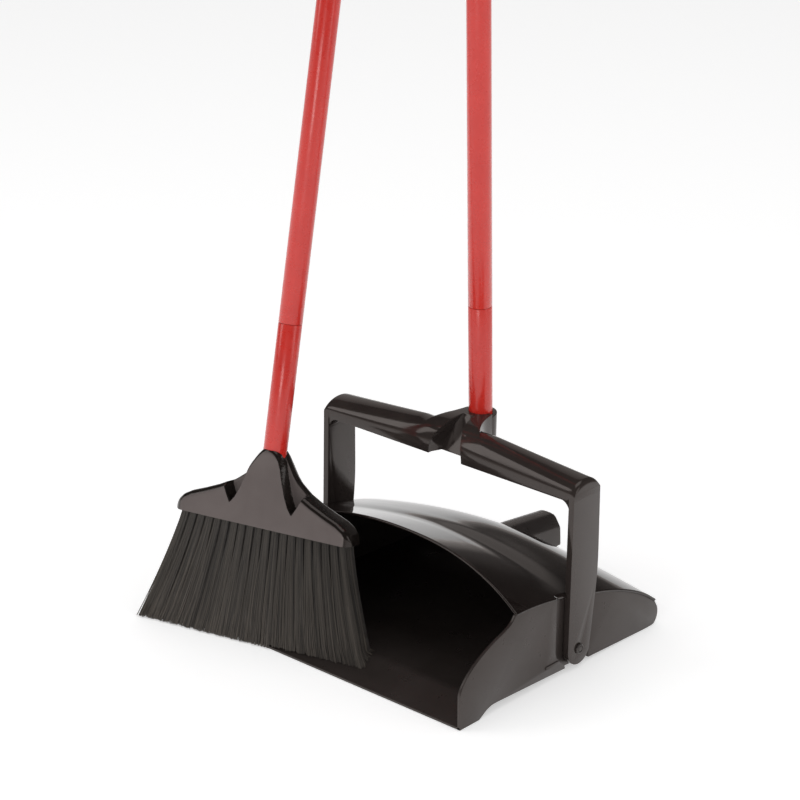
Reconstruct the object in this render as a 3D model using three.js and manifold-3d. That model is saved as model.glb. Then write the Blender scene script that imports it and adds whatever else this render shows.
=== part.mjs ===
// Lobby dust pan and broom set: a hooded pan on a swinging yoke with an upright tube handle,
// and a long-handled flared broom that stands leaning over the pan's lip.
// Millimetres, +Z up, -Y is the front (the pan's mouth), +X is the pan's right side.
import * as THREE from 'three';
import * as BufferGeometryUtils from 'three/addons/utils/BufferGeometryUtils.js';
import { ConvexGeometry } from 'three/addons/geometries/ConvexGeometry.js';
import Module from 'manifold-3d';

const wasm = await Module();
wasm.setup();

// ---- driving dimensions -------------------------------------------------------------------------
const fitGap = 0.3;            // air between pieces that touch
const slideGap = 0.5;          // air round the turning arms and pins

const panWidth = 300;          // over the side walls
const panDepth = 283;          // lip to the rear of the side walls
const wallTopFront = 84;       // side wall height at the mouth corner
const mouthSetback = 74;       // lip to the mouth corner
const trayWall = 3;
const lipLand = 26;            // flat strip that lies on the floor
const lipRise = 8.4;           // step from the floor up to the tray's underside
const lipEdge = 2;             // thickness at the lip's front edge
const rearBow = 16;            // how far the back bulges at the middle

const hoodSheet = 2.6;
const hoodRise = 31;           // crown of the mouth rim above the mouth corners
const rimSetback = 17;         // how far the rim leans back at the middle

const gripWidth = 34;
const gripHeight = 30;
const gripReach = 19;          // how far the grip stands out behind the side walls
const gripWall = 3;

const pivotFromLip = 161.5;
const pivotHeight = 19.5;
const pinRadius = 3;
const pinHeadRadius = 5;
const pinHeadHeight = 1.8;
const clipRadius = 6.5;
const clipThickness = 2.2;
const swingForward = 15;       // degrees, from the rear stop to the front stop

const armThickness = 6;
const armProud = 2.5;          // outer face of an arm beyond the side wall
const armEndRadius = 15.5;
const yokeDepth = 37;          // front to back of the crossbar and of the arms' tops
const yokeSetback = 6.5;       // middle of the crossbar behind the pivots
const yokeUnderside = 167;     // crossbar underside above the floor
const yokeSkirt = 6;           // straight part of the crossbar's front and back
const yokeEndTop = 184;
const yokeCrownTop = 194;
const yokeShell = 3;
const collarHalfSpan = 42;     // fairing from the socket out along the crossbar

const tubeRadius = 11.1;
const tubeWall = 1;
const socketWall = 4;
const socketOffset = 38.5;     // socket axis behind the pivots, at the socket's mouth
const socketMouth = 195;       // mouth height above the floor
const socketDepth = 44;
const handleLean = 1.3;        // degrees, forward
const handleTop = 914;         // overall height of the pan with its handle
const lowerTubeLength = 152;   // seam above the tube's lower end
const spigotLength = 38;
const capSleeve = 22;
const capHead = 30;
const capWall = 1.6;
const capThickness = 13;
const hangHoleRadius = 6;
const screwRadius = 1.8;

const fanWidth = 246;          // bristle tips, side to side
const fanHeight = 110;         // tips to the head's lower edge
const headWidth = 178;
const headDepth = 28;
const headWall = 3;
const headShoulder = 10;       // height of the rounded ends
const neckTop = fanHeight + 76; // crown of the socket's mouth above the tips
const neckAxis = 12.5;         // tube axis behind the head's front face
const tubeSeat = fanHeight + 38; // tube end above the tips
const tipThread = 7.6;         // radius of the screwed tip
const tipLength = 20;
const blockDepth = 10;
const rowCount = 4;
const rowPitch = 5;            // between rows at the roots
const rowSpread = 2;           // how much wider apart the rows are at the tips
const tuftCount = 20;
const rootBar = 3.4;           // thickness of the bar that each row's roots share
const tuftWidth = 6.2;
const broomLength = 914;       // tips to the end of the cap
const broomLean = 15;          // degrees, backward
const broomYaw = 13.7;         // degrees, right end back
const broomPlace = new THREE.Vector3(-103.15, -10.05, 1.5);   // middle of the front row's tips

// ---- materials ----------------------------------------------------------------------------------
const plastic = (color, roughness) => new THREE.MeshStandardMaterial({ color, roughness, metalness: 0 });
const trayBlack = plastic(0x1f1b1a, 0.45);
const hoodBlack = plastic(0x191615, 0.2);
const yokeBlack = plastic(0x1a1716, 0.22);
const pinBlack = plastic(0x151313, 0.4);
const headBlack = plastic(0x221e1d, 0.35);
const bristleGrey = plastic(0x2a2724, 0.8);
const redPaint = new THREE.MeshStandardMaterial({ color: 0xb5231c, roughness: 0.3, metalness: 0.1 });
const zincPlate = new THREE.MeshStandardMaterial({ color: 0xb8b8b4, roughness: 0.35, metalness: 1 });

// ---- solid modelling helpers --------------------------------------------------------------------
function solidOf(geometry) {
  const bare = new THREE.BufferGeometry();
  bare.setAttribute('position', geometry.getAttribute('position').clone());
  if (geometry.index) bare.setIndex(geometry.index.clone());
  const merged = BufferGeometryUtils.mergeVertices(bare, 1e-4);
  return new wasm.Manifold(new wasm.Mesh({
    numProp: 3,
    vertProperties: Float32Array.from(merged.getAttribute('position').array),
    triVerts: Uint32Array.from(merged.index.array),
  }));
}

function geometryOf(solid) {
  const mesh = solid.getMesh();
  const geometry = new THREE.BufferGeometry();
  geometry.setAttribute('position', new THREE.BufferAttribute(Float32Array.from(mesh.vertProperties), 3));
  geometry.setIndex(new THREE.BufferAttribute(Uint32Array.from(mesh.triVerts), 1));
  geometry.computeVertexNormals();
  return geometry;
}

const joinAll = (solids) => solids.reduce((sum, solid) => sum.add(solid));
const cutAll = (solid, cutters) => cutters.reduce((rest, cutter) => rest.subtract(cutter), solid);

// A skin over matching closed loops of points, closed by a flat cap at each end.
// flat(point) gives the two coordinates in which a loop is seen as an outline.
function loft(loops, flat) {
  const count = loops[0].length;
  const positions = loops.flat().flatMap((p) => [p.x, p.y, p.z]);
  const index = [];
  for (let s = 0; s + 1 < loops.length; s++) {
    for (let i = 0; i < count; i++) {
      const a = s * count + i;
      const b = s * count + (i + 1) % count;
      index.push(a, b, b + count, a, b + count, a + count);
    }
  }
  const last = (loops.length - 1) * count;
  for (const [start, loop, turned] of [[0, loops[0], true], [last, loops.at(-1), false]]) {
    const outline = loop.map((p) => new THREE.Vector2(...flat(p)));
    const flip = turned !== THREE.ShapeUtils.isClockWise(outline);
    for (const [a, b, c] of THREE.ShapeUtils.triangulateShape(outline, [])) {
      index.push(...(flip ? [start + c, start + b, start + a] : [start + a, start + b, start + c]));
    }
  }
  return facedOut(positions, index);
}

// Turns every face over when the closed surface encloses a negative volume.
function facedOut(positions, index) {
  const at = (i) => new THREE.Vector3().fromArray(positions, 3 * i);
  let volume = 0;
  for (let t = 0; t < index.length; t += 3) {
    volume += at(index[t]).dot(at(index[t + 1]).cross(at(index[t + 2])));
  }
  if (volume < 0) index.reverse();
  const geometry = new THREE.BufferGeometry();
  geometry.setAttribute('position', new THREE.Float32BufferAttribute(positions, 3));
  geometry.setIndex(index);
  return geometry;
}

const seenFromSide = (p) => [p.y, p.z];
const seenFromAbove = (p) => [p.x, p.y];

// An outline drawn in (y, z), extruded along X from x0 to x1.
function slabX(shape, x0, x1, curveSegments = 6) {
  const slab = new THREE.ExtrudeGeometry(shape, { depth: x1 - x0, bevelEnabled: false, curveSegments });
  const sideways = new THREE.Matrix4().makeBasis(
    new THREE.Vector3(0, 1, 0), new THREE.Vector3(0, 0, 1), new THREE.Vector3(1, 0, 0));
  return slab.applyMatrix4(sideways.setPosition(x0, 0, 0));
}

// An outline drawn in (x, z), extruded along Y from y0 to y1.
function slabY(shape, y0, y1, curveSegments = 6) {
  const slab = new THREE.ExtrudeGeometry(shape, { depth: y1 - y0, bevelEnabled: false, curveSegments });
  return slab.rotateX(Math.PI / 2).translate(0, y1, 0);
}

const polygon = (pairs) => new THREE.Shape(pairs.map(([a, b]) => new THREE.Vector2(a, b)));

function box(x0, x1, y0, y1, z0, z1) {
  return new THREE.BoxGeometry(x1 - x0, y1 - y0, z1 - z0)
    .translate((x0 + x1) / 2, (y0 + y1) / 2, (z0 + z1) / 2);
}

// A round bar along Z or X between two stations.
function barZ(radius, z0, z1, x = 0, y = 0, sides = 24) {
  return new THREE.CylinderGeometry(radius, radius, z1 - z0, sides)
    .rotateX(Math.PI / 2).translate(x, y, (z0 + z1) / 2);
}

function barX(radius, x0, x1, y, z, sides = 20) {
  return new THREE.CylinderGeometry(radius, radius, x1 - x0, sides)
    .rotateZ(Math.PI / 2).translate((x0 + x1) / 2, y, z);
}

// A turned piece: (radius, z) pairs that start and end on the axis.
function turned(pairs, sides = 24) {
  return new THREE.LatheGeometry(pairs.map(([r, z]) => new THREE.Vector2(r, z)), sides)
    .rotateX(Math.PI / 2);
}

function part(name, shape, material) {
  const geometry = shape.isBufferGeometry ? shape : geometryOf(shape);
  const mesh = new THREE.Mesh(geometry, material);
  mesh.name = name;
  return mesh;
}

const lerp = THREE.MathUtils.lerp;
const stations = (count, from, to) => Array.from(
  { length: count }, (_, i) => lerp(from, to, i / (count - 1)));

// ---- the pan's side outline ---------------------------------------------------------------------
// Drawn in (y, z): straight at the lip, swept back to the mouth corner, then down to the rear nose.
const halfWidth = panWidth / 2;
const lipFace = 0.38 * wallTopFront;
const nose = { y: panDepth, z: 12 };
const backTop = { y: panDepth - 13, z: 29 };
const heelEnd = panDepth - 9;
const heelLength = 12;
const hip = { y: panDepth - 93, z: 64 };
const rampStart = { y: lipLand, z: 0 };
const rampCrest = { y: lipLand + 11, z: lipRise - 0.4 };
const rampEnd = { y: lipLand + 18, z: lipRise };
const innerRamp = { from: rampStart.y - 4, to: rampCrest.y - 2, top: rampCrest.z + trayWall + 0.2 };

function sideOutline() {
  const shape = new THREE.Shape();
  shape.moveTo(0, 0);
  shape.lineTo(0, lipFace);
  shape.bezierCurveTo(0.04 * mouthSetback, 0.6 * wallTopFront, 0.46 * mouthSetback, 0.78 * wallTopFront,
    0.8 * mouthSetback, 0.87 * wallTopFront);
  shape.bezierCurveTo(0.9 * mouthSetback, 0.9 * wallTopFront, 0.96 * mouthSetback, 0.94 * wallTopFront,
    mouthSetback, wallTopFront);
  seam(shape);
  shape.bezierCurveTo(nose.y - 4, 23, nose.y, 18, nose.y, nose.z);
  shape.bezierCurveTo(nose.y, 5, heelEnd + 5, 0, heelEnd, 0);
  shape.lineTo(heelEnd - heelLength, 0);
  shape.lineTo(rampEnd.y, rampEnd.z);
  shape.lineTo(rampCrest.y, rampCrest.z);
  shape.lineTo(rampStart.y, rampStart.z);
  shape.closePath();
  return shape;
}

// The top edge of a side wall, from the mouth corner to the back.
function seam(path) {
  path.bezierCurveTo(lerp(mouthSetback, hip.y, 0.28), wallTopFront + 0.5,
    lerp(mouthSetback, hip.y, 0.66), hip.z + 11, hip.y, hip.z);
  path.bezierCurveTo(hip.y + 32, hip.z - 8, backTop.y - 15, backTop.z + 12, backTop.y, backTop.z);
}

const seamPoints = (() => {
  const path = new THREE.Path();
  path.moveTo(mouthSetback, wallTopFront);
  seam(path);
  return path.getPoints(10);
})();

function seamHeight(y) {
  const after = seamPoints.findIndex((p) => p.x >= y);
  if (after <= 0) return after ? seamPoints.at(-1).y : wallTopFront;
  const [a, b] = [seamPoints[after - 1], seamPoints[after]];
  return lerp(a.y, b.y, (y - a.x) / (b.x - a.x));
}

// How far the back bulges behind the side walls at a place across the pan.
const bow = (x) => rearBow * (1 - (x / halfWidth) ** 2);

// ---- yoke outline values, shared by the arms and by the pockets in the side walls ----------------
const yokeMiddle = pivotFromLip + yokeSetback;
const armOuter = halfWidth + armProud;
const armInner = armOuter - armThickness;
const pocketFloor = armInner - slideGap;
const pocketLip = 1;           // how far a pocket's back wall stands up under the hood
const armFront = (z) => lerp(pivotFromLip - armEndRadius, yokeMiddle - yokeDepth / 2,
  THREE.MathUtils.clamp((z - pivotHeight) / (yokeUnderside - pivotHeight), 0, 1));
const armTaperTop = pivotHeight + 0.48 * (yokeUnderside - pivotHeight);
const armRear = (z) => lerp(pivotFromLip + armEndRadius, yokeMiddle + yokeDepth / 2,
  THREE.MathUtils.clamp((z - pivotHeight) / (armTaperTop - pivotHeight), 0, 1));

// Where the front edge of an arm meets the height of the seam once it has swung forward.
const swing = THREE.MathUtils.degToRad(swingForward);
const pocketFront = (() => {
  const top = seamHeight(pivotFromLip - 0.2 * panDepth / 2);
  const across = armFront(top) - pivotFromLip;
  const up = top - pivotHeight;
  return pivotFromLip + across * Math.cos(swing) - up * Math.sin(swing) - 4 * slideGap;
})();

// The pocket that an arm swings in. grow widens it all round for the wall that backs it.
function pocketShape(grow) {
  const top = wallTopFront + 20;
  const rear = (z) => armRear(z) + 2 * slideGap + grow;
  const front = pocketFront - grow;
  const ledge = pivotHeight - 4 - grow;
  const low = -20;
  return polygon([
    [front, top], [front, pivotHeight + 6], [front + 5, ledge],
    [pivotFromLip - armEndRadius - 2, ledge - 7], [pivotFromLip - 7, low],
    [rear(pivotHeight) + 3, low], [rear(pivotHeight) + 0.5, pivotHeight - 8],
    [rear(pivotHeight), pivotHeight],
    [rear(armTaperTop), armTaperTop], [rear(top), top],
  ]);
}

// ---- tray: floor, side walls and rear wall in one moulding ----------------------------------------
function makeTray() {
  const walls = [-1, 1].map((side) => {
    const [x0, x1] = side > 0 ? [halfWidth - trayWall, halfWidth] : [-halfWidth, trayWall - halfWidth];
    return solidOf(slabX(sideOutline(), x0, x1));
  });
  const floor = solidOf(loft(stations(13, -halfWidth + 0.5, halfWidth - 0.5).map(floorLoop), seenFromSide));
  let tray = joinAll([...walls, floor]);
  const outline = solidOf(slabX(sideOutline(), -halfWidth, halfWidth));
  const raised = outline.translate([0, 0, pocketLip]);
  for (const side of [-1, 1]) {
    const span = (a, b) => (side > 0 ? [a, b] : [-b, -a]);
    const rim = solidOf(slabX(pocketShape(trayWall), ...span(pocketFloor - trayWall, halfWidth - 1)));
    const back = solidOf(slabX(pocketShape(0), ...span(pocketFloor - trayWall, pocketFloor)));
    const backing = rim.intersect(outline).add(back.intersect(raised));
    const pocket = solidOf(slabX(pocketShape(0), ...span(pocketFloor, halfWidth + 5)));
    const pinHole = solidOf(barX(pinRadius + fitGap, ...span(pocketFloor - trayWall - 2, halfWidth),
      pivotFromLip, pivotHeight));
    const rib = solidOf(slabX(polygon([[0, 0], [20, 0], [20, 3], [0, 3]].map(([y, z]) => [
      pocketFront - 14 + y, pivotHeight - 6 + z])), ...span(halfWidth - 1, halfWidth + 1)));
    tray = tray.add(backing).subtract(pocket).subtract(pinHole).add(rib);
  }
  return part('tray', tray, trayBlack);
}

// One cross-section of the floor and rear wall, in (y, z), at a place across the pan.
function floorLoop(x) {
  const back = bow(x);
  const t = trayWall;
  const pairs = [
    [0, 0], [rampStart.y, 0], [rampCrest.y, rampCrest.z], [rampEnd.y, rampEnd.z],
    [heelEnd - heelLength, 0], [heelEnd + back, 0],
    [heelEnd + 5.5 + back, 2.5], [nose.y - 0.5 + back, 7], [nose.y + back, nose.z],
    [nose.y - 1.2 + back, 18], [nose.y - 5 + back, 23],
    [nose.y - 5 - t * 0.8 + back, 21], [nose.y - 1.2 - t + back, 17], [nose.y - t + back, nose.z],
    [nose.y - t - 1 + back, 8], [heelEnd + 1 + back, t + 1.6], [heelEnd - 2 + back, t],
    [heelEnd - heelLength, t], [rampEnd.y + 2, rampEnd.z + t], [innerRamp.to, innerRamp.top],
    [innerRamp.from, t], [0, lipEdge],
  ];
  return pairs.map(([y, z]) => new THREE.Vector3(x, y, z));
}

// ---- hood: one curved sheet from the mouth rim to the rear nose -----------------------------------
const rimRoundness = 2.3;       // power of the crown's cross-section at the mouth
const backRoundness = 1.75;     // and from a hand's width behind it
const edgeLine = [...seamPoints.map((p) => [p.x, p.y]), [nose.y - 6.5, 24.2]];

// The sheet's line along the middle of the pan, matched point for point with the seam.
const crownLine = (() => {
  const reach = nose.y + rearBow;
  const rim = { y: mouthSetback + rimSetback, z: wallTopFront + hoodRise };
  const falls = [[0, 0], [0.19, 0.15], [0.28, 0.22], [0.4, 0.28], [0.62, 0.43], [0.8, 0.67], [0.93, 0.91]];
  const points = falls.map(([along, down]) => new THREE.Vector3(0, lerp(rim.y, reach, along),
    lerp(rim.z, edgeLine.at(-1)[1], down)));
  points.push(new THREE.Vector3(0, reach - 6.5, edgeLine.at(-1)[1]));
  const curve = new THREE.CatmullRomCurve3(points);
  return curve.getSpacedPoints(edgeLine.length - 1).map((p) => [p.y, p.z]);
})();

function hoodLoop(x) {
  const under = edgeLine.map(([y, z], i) => {
    const lift = 1 - Math.abs(x / halfWidth) ** lerp(rimRoundness, backRoundness, Math.min(1, i / 6));
    return new THREE.Vector2(lerp(y, crownLine[i][0], lift), lerp(z, crownLine[i][1], lift) + fitGap);
  });
  const over = under.map((p, i) => {
    const next = under[Math.min(i + 1, under.length - 1)];
    const along = next.clone().sub(under[Math.max(i - 1, 0)]).normalize();
    return new THREE.Vector2(p.x - along.y * hoodSheet, p.y + along.x * hoodSheet);
  });
  over[0].x = under[0].x;
  return [...over, ...under.reverse()].map((p) => new THREE.Vector3(x, p.x, p.y));
}

const hoodStations = [-1, -0.9, -0.78, -0.62, -0.46, -0.3, -0.15, 0, 0.15, 0.3, 0.46, 0.62, 0.78, 0.9, 1]
  .map((share) => share * halfWidth);

// ---- rear grip: a hollow half-round carrying handle on the hood ------------------------------------
const gripEnd = panDepth + gripReach;
const gripTopRear = 62;
const gripTopFront = 70;
const gripStart = gripEnd - 90;

function gripLoop(y, inset, openBelow) {
  const half = gripWidth / 2 - inset;
  const top = lerp(gripTopFront, gripTopRear, (y - (gripEnd - 65)) / 65) - inset;
  const round = 0.6 * half;
  const bottom = openBelow;
  const pairs = [[half, bottom], [half, top - 8], [round + 1, top - 2.6]];
  for (const angle of [60, 90, 120]) {
    const a = THREE.MathUtils.degToRad(angle);
    pairs.push([round * Math.cos(a), top - 4 + 4 * Math.sin(a)]);
  }
  pairs.push([-round - 1, top - 2.6], [-half, top - 8], [-half, bottom]);
  return pairs.map(([x, z]) => new THREE.Vector3(x, y, z));
}

const seenFromFront = (p) => [p.x, p.z];

function makeHood() {
  const sheet = solidOf(loft(hoodStations.map(hoodLoop), seenFromSide));
  const underHood = solidOf(loft(hoodStations.map(underHoodLoop), seenFromSide));
  const gripBottom = gripTopRear - gripHeight;
  const outer = [gripStart, gripEnd].map((y) => gripLoop(y, 0, gripBottom));
  const shell = solidOf(loft(outer, seenFromFront));
  const inner = [gripStart, gripEnd + 5].map((y) => gripLoop(y, gripWall, 0));
  const hollow = solidOf(loft(inner, seenFromFront));
  const aboveFloor = solidOf(box(
    -gripWidth, gripWidth, gripStart - 5, gripEnd + 5, gripBottom + gripWall, 90));
  const reachesOpenEnd = (space) => space.boundingBox().max[1] > gripEnd;
  const spaces = hollow.intersect(aboveFloor).subtract(sheet).subtract(underHood).decompose();
  const cavity = joinAll(spaces.filter(reachesOpenEnd));
  const grip = shell.subtract(underHood);
  const notches = [[pocketFloor, halfWidth + 5], [-halfWidth - 5, -pocketFloor]]
    .map(([x0, x1]) => solidOf(slabX(pocketShape(0), x0, x1)));
  return part('hood', cutAll(sheet.add(grip), [cavity, ...notches]), hoodBlack);
}

// Everything below the hood's underside, for trimming what is added on top.
function underHoodLoop(x) {
  const loop = hoodLoop(x);
  const under = loop.slice(loop.length / 2);
  const rear = under[0].clone();
  const front = under.at(-1).clone();
  rear.z = -5;
  front.z = -5;
  return [...under, front, rear];
}

// ---- yoke: two arms, a crowned crossbar and the handle socket in one moulding -----------------------
// Half-round section in (y, z) at a place along the crossbar.
function crossbarLoop(x, inset = 0, drop = 0) {
  const rise = Math.min(1, (armOuter - Math.abs(x)) / (armOuter - collarHalfSpan));
  const top = lerp(yokeEndTop, yokeCrownTop, rise) - inset;
  const half = yokeDepth / 2 - inset;
  const spring = yokeUnderside + yokeSkirt;
  const loop = [new THREE.Vector3(x, yokeMiddle - half, yokeUnderside - drop)];
  for (const angle of stations(9, 180, 0)) {
    const a = THREE.MathUtils.degToRad(angle);
    loop.push(new THREE.Vector3(x, yokeMiddle + half * Math.cos(a), spring + (top - spring) * Math.sin(a)));
  }
  loop.push(new THREE.Vector3(x, yokeMiddle + half, yokeUnderside - drop));
  return loop;
}

function armShape() {
  const shape = new THREE.Shape();
  const spring = yokeUnderside + yokeSkirt;
  shape.moveTo(armRear(pivotHeight), pivotHeight);
  shape.lineTo(armRear(armTaperTop), armTaperTop);
  shape.lineTo(yokeMiddle + yokeDepth / 2, spring);
  shape.absellipse(yokeMiddle, spring, yokeDepth / 2, yokeEndTop - spring, 0, Math.PI, false, 0);
  shape.lineTo(armFront(pivotHeight), pivotHeight);
  shape.absarc(pivotFromLip, pivotHeight, armEndRadius, Math.PI, 2 * Math.PI, false);
  return shape;
}

const socketAxis = pivotFromLip + socketOffset;
const lean = THREE.MathUtils.degToRad(handleLean);

// Places a piece built round the Z axis on the handle's leaning axis, z = 0 at the socket's mouth.
function onHandle(geometry) {
  return geometry.rotateX(lean).translate(0, socketAxis, socketMouth);
}

// An arched pocket in the crossbar's front: the half-width shrinks with height.
function archLoops() {
  const arch = [[18, -8], [18, 0], [15.5, 8], [12.5, 15], [8, 22], [3, 27]];
  return arch.map(([half, up]) => {
    const z = yokeUnderside + up;
    const back = yokeMiddle - yokeDepth / 2 + 11.5 + 0.5 * Math.max(0, up);
    const front = yokeMiddle - yokeDepth / 2 - 10;
    const corners = [[-half, front], [half, front], [half, back - 3]];
    corners.push([half * 0.6, back], [-half * 0.6, back], [-half, back - 3]);
    return corners
      .map(([x, y]) => new THREE.Vector3(x, y, z));
  });
}

function makeYoke() {
  const barPlaces = [-armOuter, -collarHalfSpan, collarHalfSpan, armOuter];
  const bar = solidOf(loft(barPlaces.map((x) => crossbarLoop(x)), seenFromSide));
  const armSpans = [[armInner, armOuter], [-armOuter, -armInner]];
  const arms = armSpans.map(([x0, x1]) => solidOf(slabX(armShape(), x0, x1, 8)));
  const hollowNear = collarHalfSpan + yokeShell;
  const hollowFar = armInner - yokeShell;
  const hollows = [[hollowNear, hollowFar], [-hollowFar, -hollowNear]]
    .map(([x0, x1]) => solidOf(loft([x0, x1].map((x) => crossbarLoop(x, yokeShell, 5)), seenFromSide)));
  const socketRadius = tubeRadius + socketWall;
  const rim = Array.from({ length: 24 }, (_, i) => {
    const a = i * Math.PI / 12;
    const [x, y] = [socketRadius * Math.cos(a), socketRadius * Math.sin(a)];
    return new THREE.Vector3(x, socketAxis + y, socketMouth + 0.12 * y);
  });
  const low = rim.map((p) => new THREE.Vector3(p.x, p.y, yokeUnderside));
  const ribs = [-collarHalfSpan, collarHalfSpan].flatMap((x) => crossbarLoop(x, 0.4));
  const cape = solidOf(new ConvexGeometry([...rim, ...low, ...ribs]));
  const boss = solidOf(barZ(socketRadius, socketMouth - socketDepth - 3, yokeUnderside + 1, 0, socketAxis));
  const bore = solidOf(onHandle(barZ(tubeRadius + fitGap, -socketDepth, 60)));
  const screwHole = solidOf(screwAlong(screwRadius + fitGap, 6, 40));
  const arch = solidOf(loft(archLoops(), seenFromAbove));
  const pins = solidOf(barX(pinRadius + slideGap, -armOuter - 2, armOuter + 2, pivotFromLip, pivotHeight));
  const body = cutAll(joinAll([bar, ...arms]), hollows);
  return part('yoke', cutAll(joinAll([body, cape, boss]), [bore, arch, pins, screwHole]), yokeBlack);
}

// A round bar along Y through the socket's rear wall, from y0 to y1 behind the socket's axis.
function screwAlong(radius, y0, y1) {
  return new THREE.CylinderGeometry(radius, radius, y1 - y0, 12)
    .translate(0, socketAxis + (y0 + y1) / 2, socketMouth - socketDepth / 2);
}

// ---- pivot pins and the clips that hold them inside the pan ------------------------------------------
function pinGroup(side, label) {
  const seat = armOuter + fitGap;
  const clipSeat = pocketFloor - trayWall - fitGap;
  const head = turned([[0, 0], [pinHeadRadius, 0], [pinHeadRadius, 0.6 * pinHeadHeight],
    [0.75 * pinHeadRadius, pinHeadHeight], [0.62 * pinHeadRadius, 0.7 * pinHeadHeight],
    [0, 0.8 * pinHeadHeight]])
    .rotateY(Math.PI / 2).translate(seat, 0, 0);
  const shank = barX(pinRadius, clipSeat - clipThickness - 1, seat + 0.3, 0, 0);
  const clip = solidOf(barX(clipRadius, clipSeat - clipThickness, clipSeat, 0, 0, 24))
    .subtract(solidOf(barX(pinRadius + 0.05, clipSeat - clipThickness - 2, clipSeat + 2, 0, 0)));
  const group = new THREE.Group();
  group.add(part(`pivot_pin_${label}`, solidOf(head).add(solidOf(shank)), pinBlack));
  group.add(part(`pin_clip_${label}`, clip, pinBlack));
  group.position.set(0, pivotFromLip, pivotHeight);
  if (side < 0) group.rotation.z = Math.PI;
  return group;
}

// ---- tube handles ------------------------------------------------------------------------------------
// Lower and upper tube and the end cap, along Z from the lower end at z = 0 to total length.
function handleParts(prefix, total) {
  const seamAt = lowerTubeLength;
  const top = total - capHead;
  const bore = tubeRadius - tubeWall;
  const neck = bore - fitGap;
  const lower = solidOf(barZ(tubeRadius, 0, seamAt)).subtract(solidOf(barZ(bore, -2, seamAt + 2)));
  const upperOuter = solidOf(turned([[0, seamAt - spigotLength], [neck, seamAt - spigotLength],
    [neck, seamAt + fitGap], [tubeRadius, seamAt + fitGap], [tubeRadius, top], [0, top]]));
  const upper = upperOuter.subtract(solidOf(barZ(neck - tubeWall, seamAt - spigotLength - 2, top + 2)))
    .subtract(solidOf(barZ(bore, seamAt + 4, top + 2)));
  const sleeve = tubeRadius + fitGap + capWall;
  const knob = solidOf(turned([
    [0, top - capSleeve], [sleeve - 0.4, top - capSleeve], [sleeve, top - capSleeve + 1.5],
    [sleeve, top + 4], [sleeve - 1, top + 0.6 * capHead], [sleeve - 4, top + 0.9 * capHead], [0, total]]));
  const cheek = capThickness / 2;
  const far = 40;
  const sides = [[cheek, far], [-far, -cheek]];
  const flats = sides.map(([y0, y1]) => solidOf(box(-far, far, y0, y1, top + 7, total + 5)));
  const recess = solidOf(barZ(tubeRadius + fitGap, top - capSleeve - 2, top + fitGap));
  const hole = solidOf(new THREE.CylinderGeometry(hangHoleRadius, hangHoleRadius, 60, 20)
    .translate(0, 0, top + 0.55 * capHead));
  return {
    lower, upper,
    cap: cutAll(knob, [recess, hole, ...flats]),
  };
}

function makePanHandle() {
  const seat = fitGap - socketDepth;
  const total = (handleTop - socketMouth) / Math.cos(lean) - seat;
  const { lower, upper, cap } = handleParts('pan', total);
  const place = (solid) => onHandle(geometryOf(solid).translate(0, 0, seat));
  const screwHole = solidOf(screwAlong(screwRadius + fitGap, 0, 40));
  const screwSeat = tubeRadius + socketWall + fitGap + 0.6;
  const screw = solidOf(screwAlong(screwRadius, tubeRadius - 4, screwSeat + 1))
    .add(solidOf(screwAlong(2 * screwRadius, screwSeat, screwSeat + 2)));
  return [
    part('pan_tube_lower', solidOf(place(lower)).subtract(screwHole), redPaint),
    part('pan_tube_upper', place(upper), redPaint),
    part('pan_handle_cap', place(cap), pinBlack),
    part('socket_screw', screw, zincPlate),
  ];
}

// ---- broom, built upright with the front row's tips on X at z = 0 and its back towards +Y -------------
const headHalf = headWidth / 2;

function headOutline() {
  const shape = new THREE.Shape();
  const base = fanHeight;
  const neck = tubeRadius + 5;
  shape.moveTo(-headHalf, base);
  shape.lineTo(headHalf, base);
  shape.bezierCurveTo(headHalf + 6, base + 0.2 * headShoulder, headHalf + 4, base + headShoulder,
    headHalf - 10, base + 1.5 * headShoulder);
  shape.bezierCurveTo(0.6 * headHalf, base + 28, 0.3 * headHalf, base + 36, neck + 3, neckTop - 17);
  shape.bezierCurveTo(neck - 2, neckTop - 8, 8, neckTop, 0, neckTop);
  shape.bezierCurveTo(-8, neckTop, 2 - neck, neckTop - 8, -neck - 3, neckTop - 17);
  shape.bezierCurveTo(
    -0.3 * headHalf, base + 36, -0.6 * headHalf, base + 28, 10 - headHalf, base + 1.5 * headShoulder);
  shape.bezierCurveTo(
    -headHalf - 4, base + headShoulder, -headHalf - 6, base + 0.2 * headShoulder, -headHalf, base);
  return shape;
}

// One of the dished pockets beside the tongue, drawn in (x, z).
function dishShape(side) {
  const base = fanHeight;
  return polygon([[33, 17], [40, 30], [34, 42], [26, 50], [20, 62], [16, 48], [20, 35], [26, 23]]
    .map(([x, up]) => [side * x, base + up]));
}

function makeHeadCap() {
  const cavityHalf = headHalf - headWall;
  const body = solidOf(slabY(headOutline(), 0, headDepth));
  const cavity = solidOf(box(-cavityHalf, cavityHalf, headWall, headDepth - headWall, fanHeight - 5,
    fanHeight + blockDepth + fitGap));
  const bore = solidOf(barZ(tubeRadius + fitGap, tubeSeat - fitGap, neckTop + 5, 0, neckAxis));
  const tipBore = solidOf(barZ(tipThread + fitGap, tubeSeat - tipLength - 1, tubeSeat + 1, 0, neckAxis));
  const dishes = [-1, 1].flatMap((side) => [[-5, 6], [headDepth - 6, headDepth + 5]]
    .map(([y0, y1]) => solidOf(slabY(dishShape(side), y0, y1))));
  return part('broom_head', cutAll(body, [cavity, bore, tipBore, ...dishes]), headBlack);
}

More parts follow.
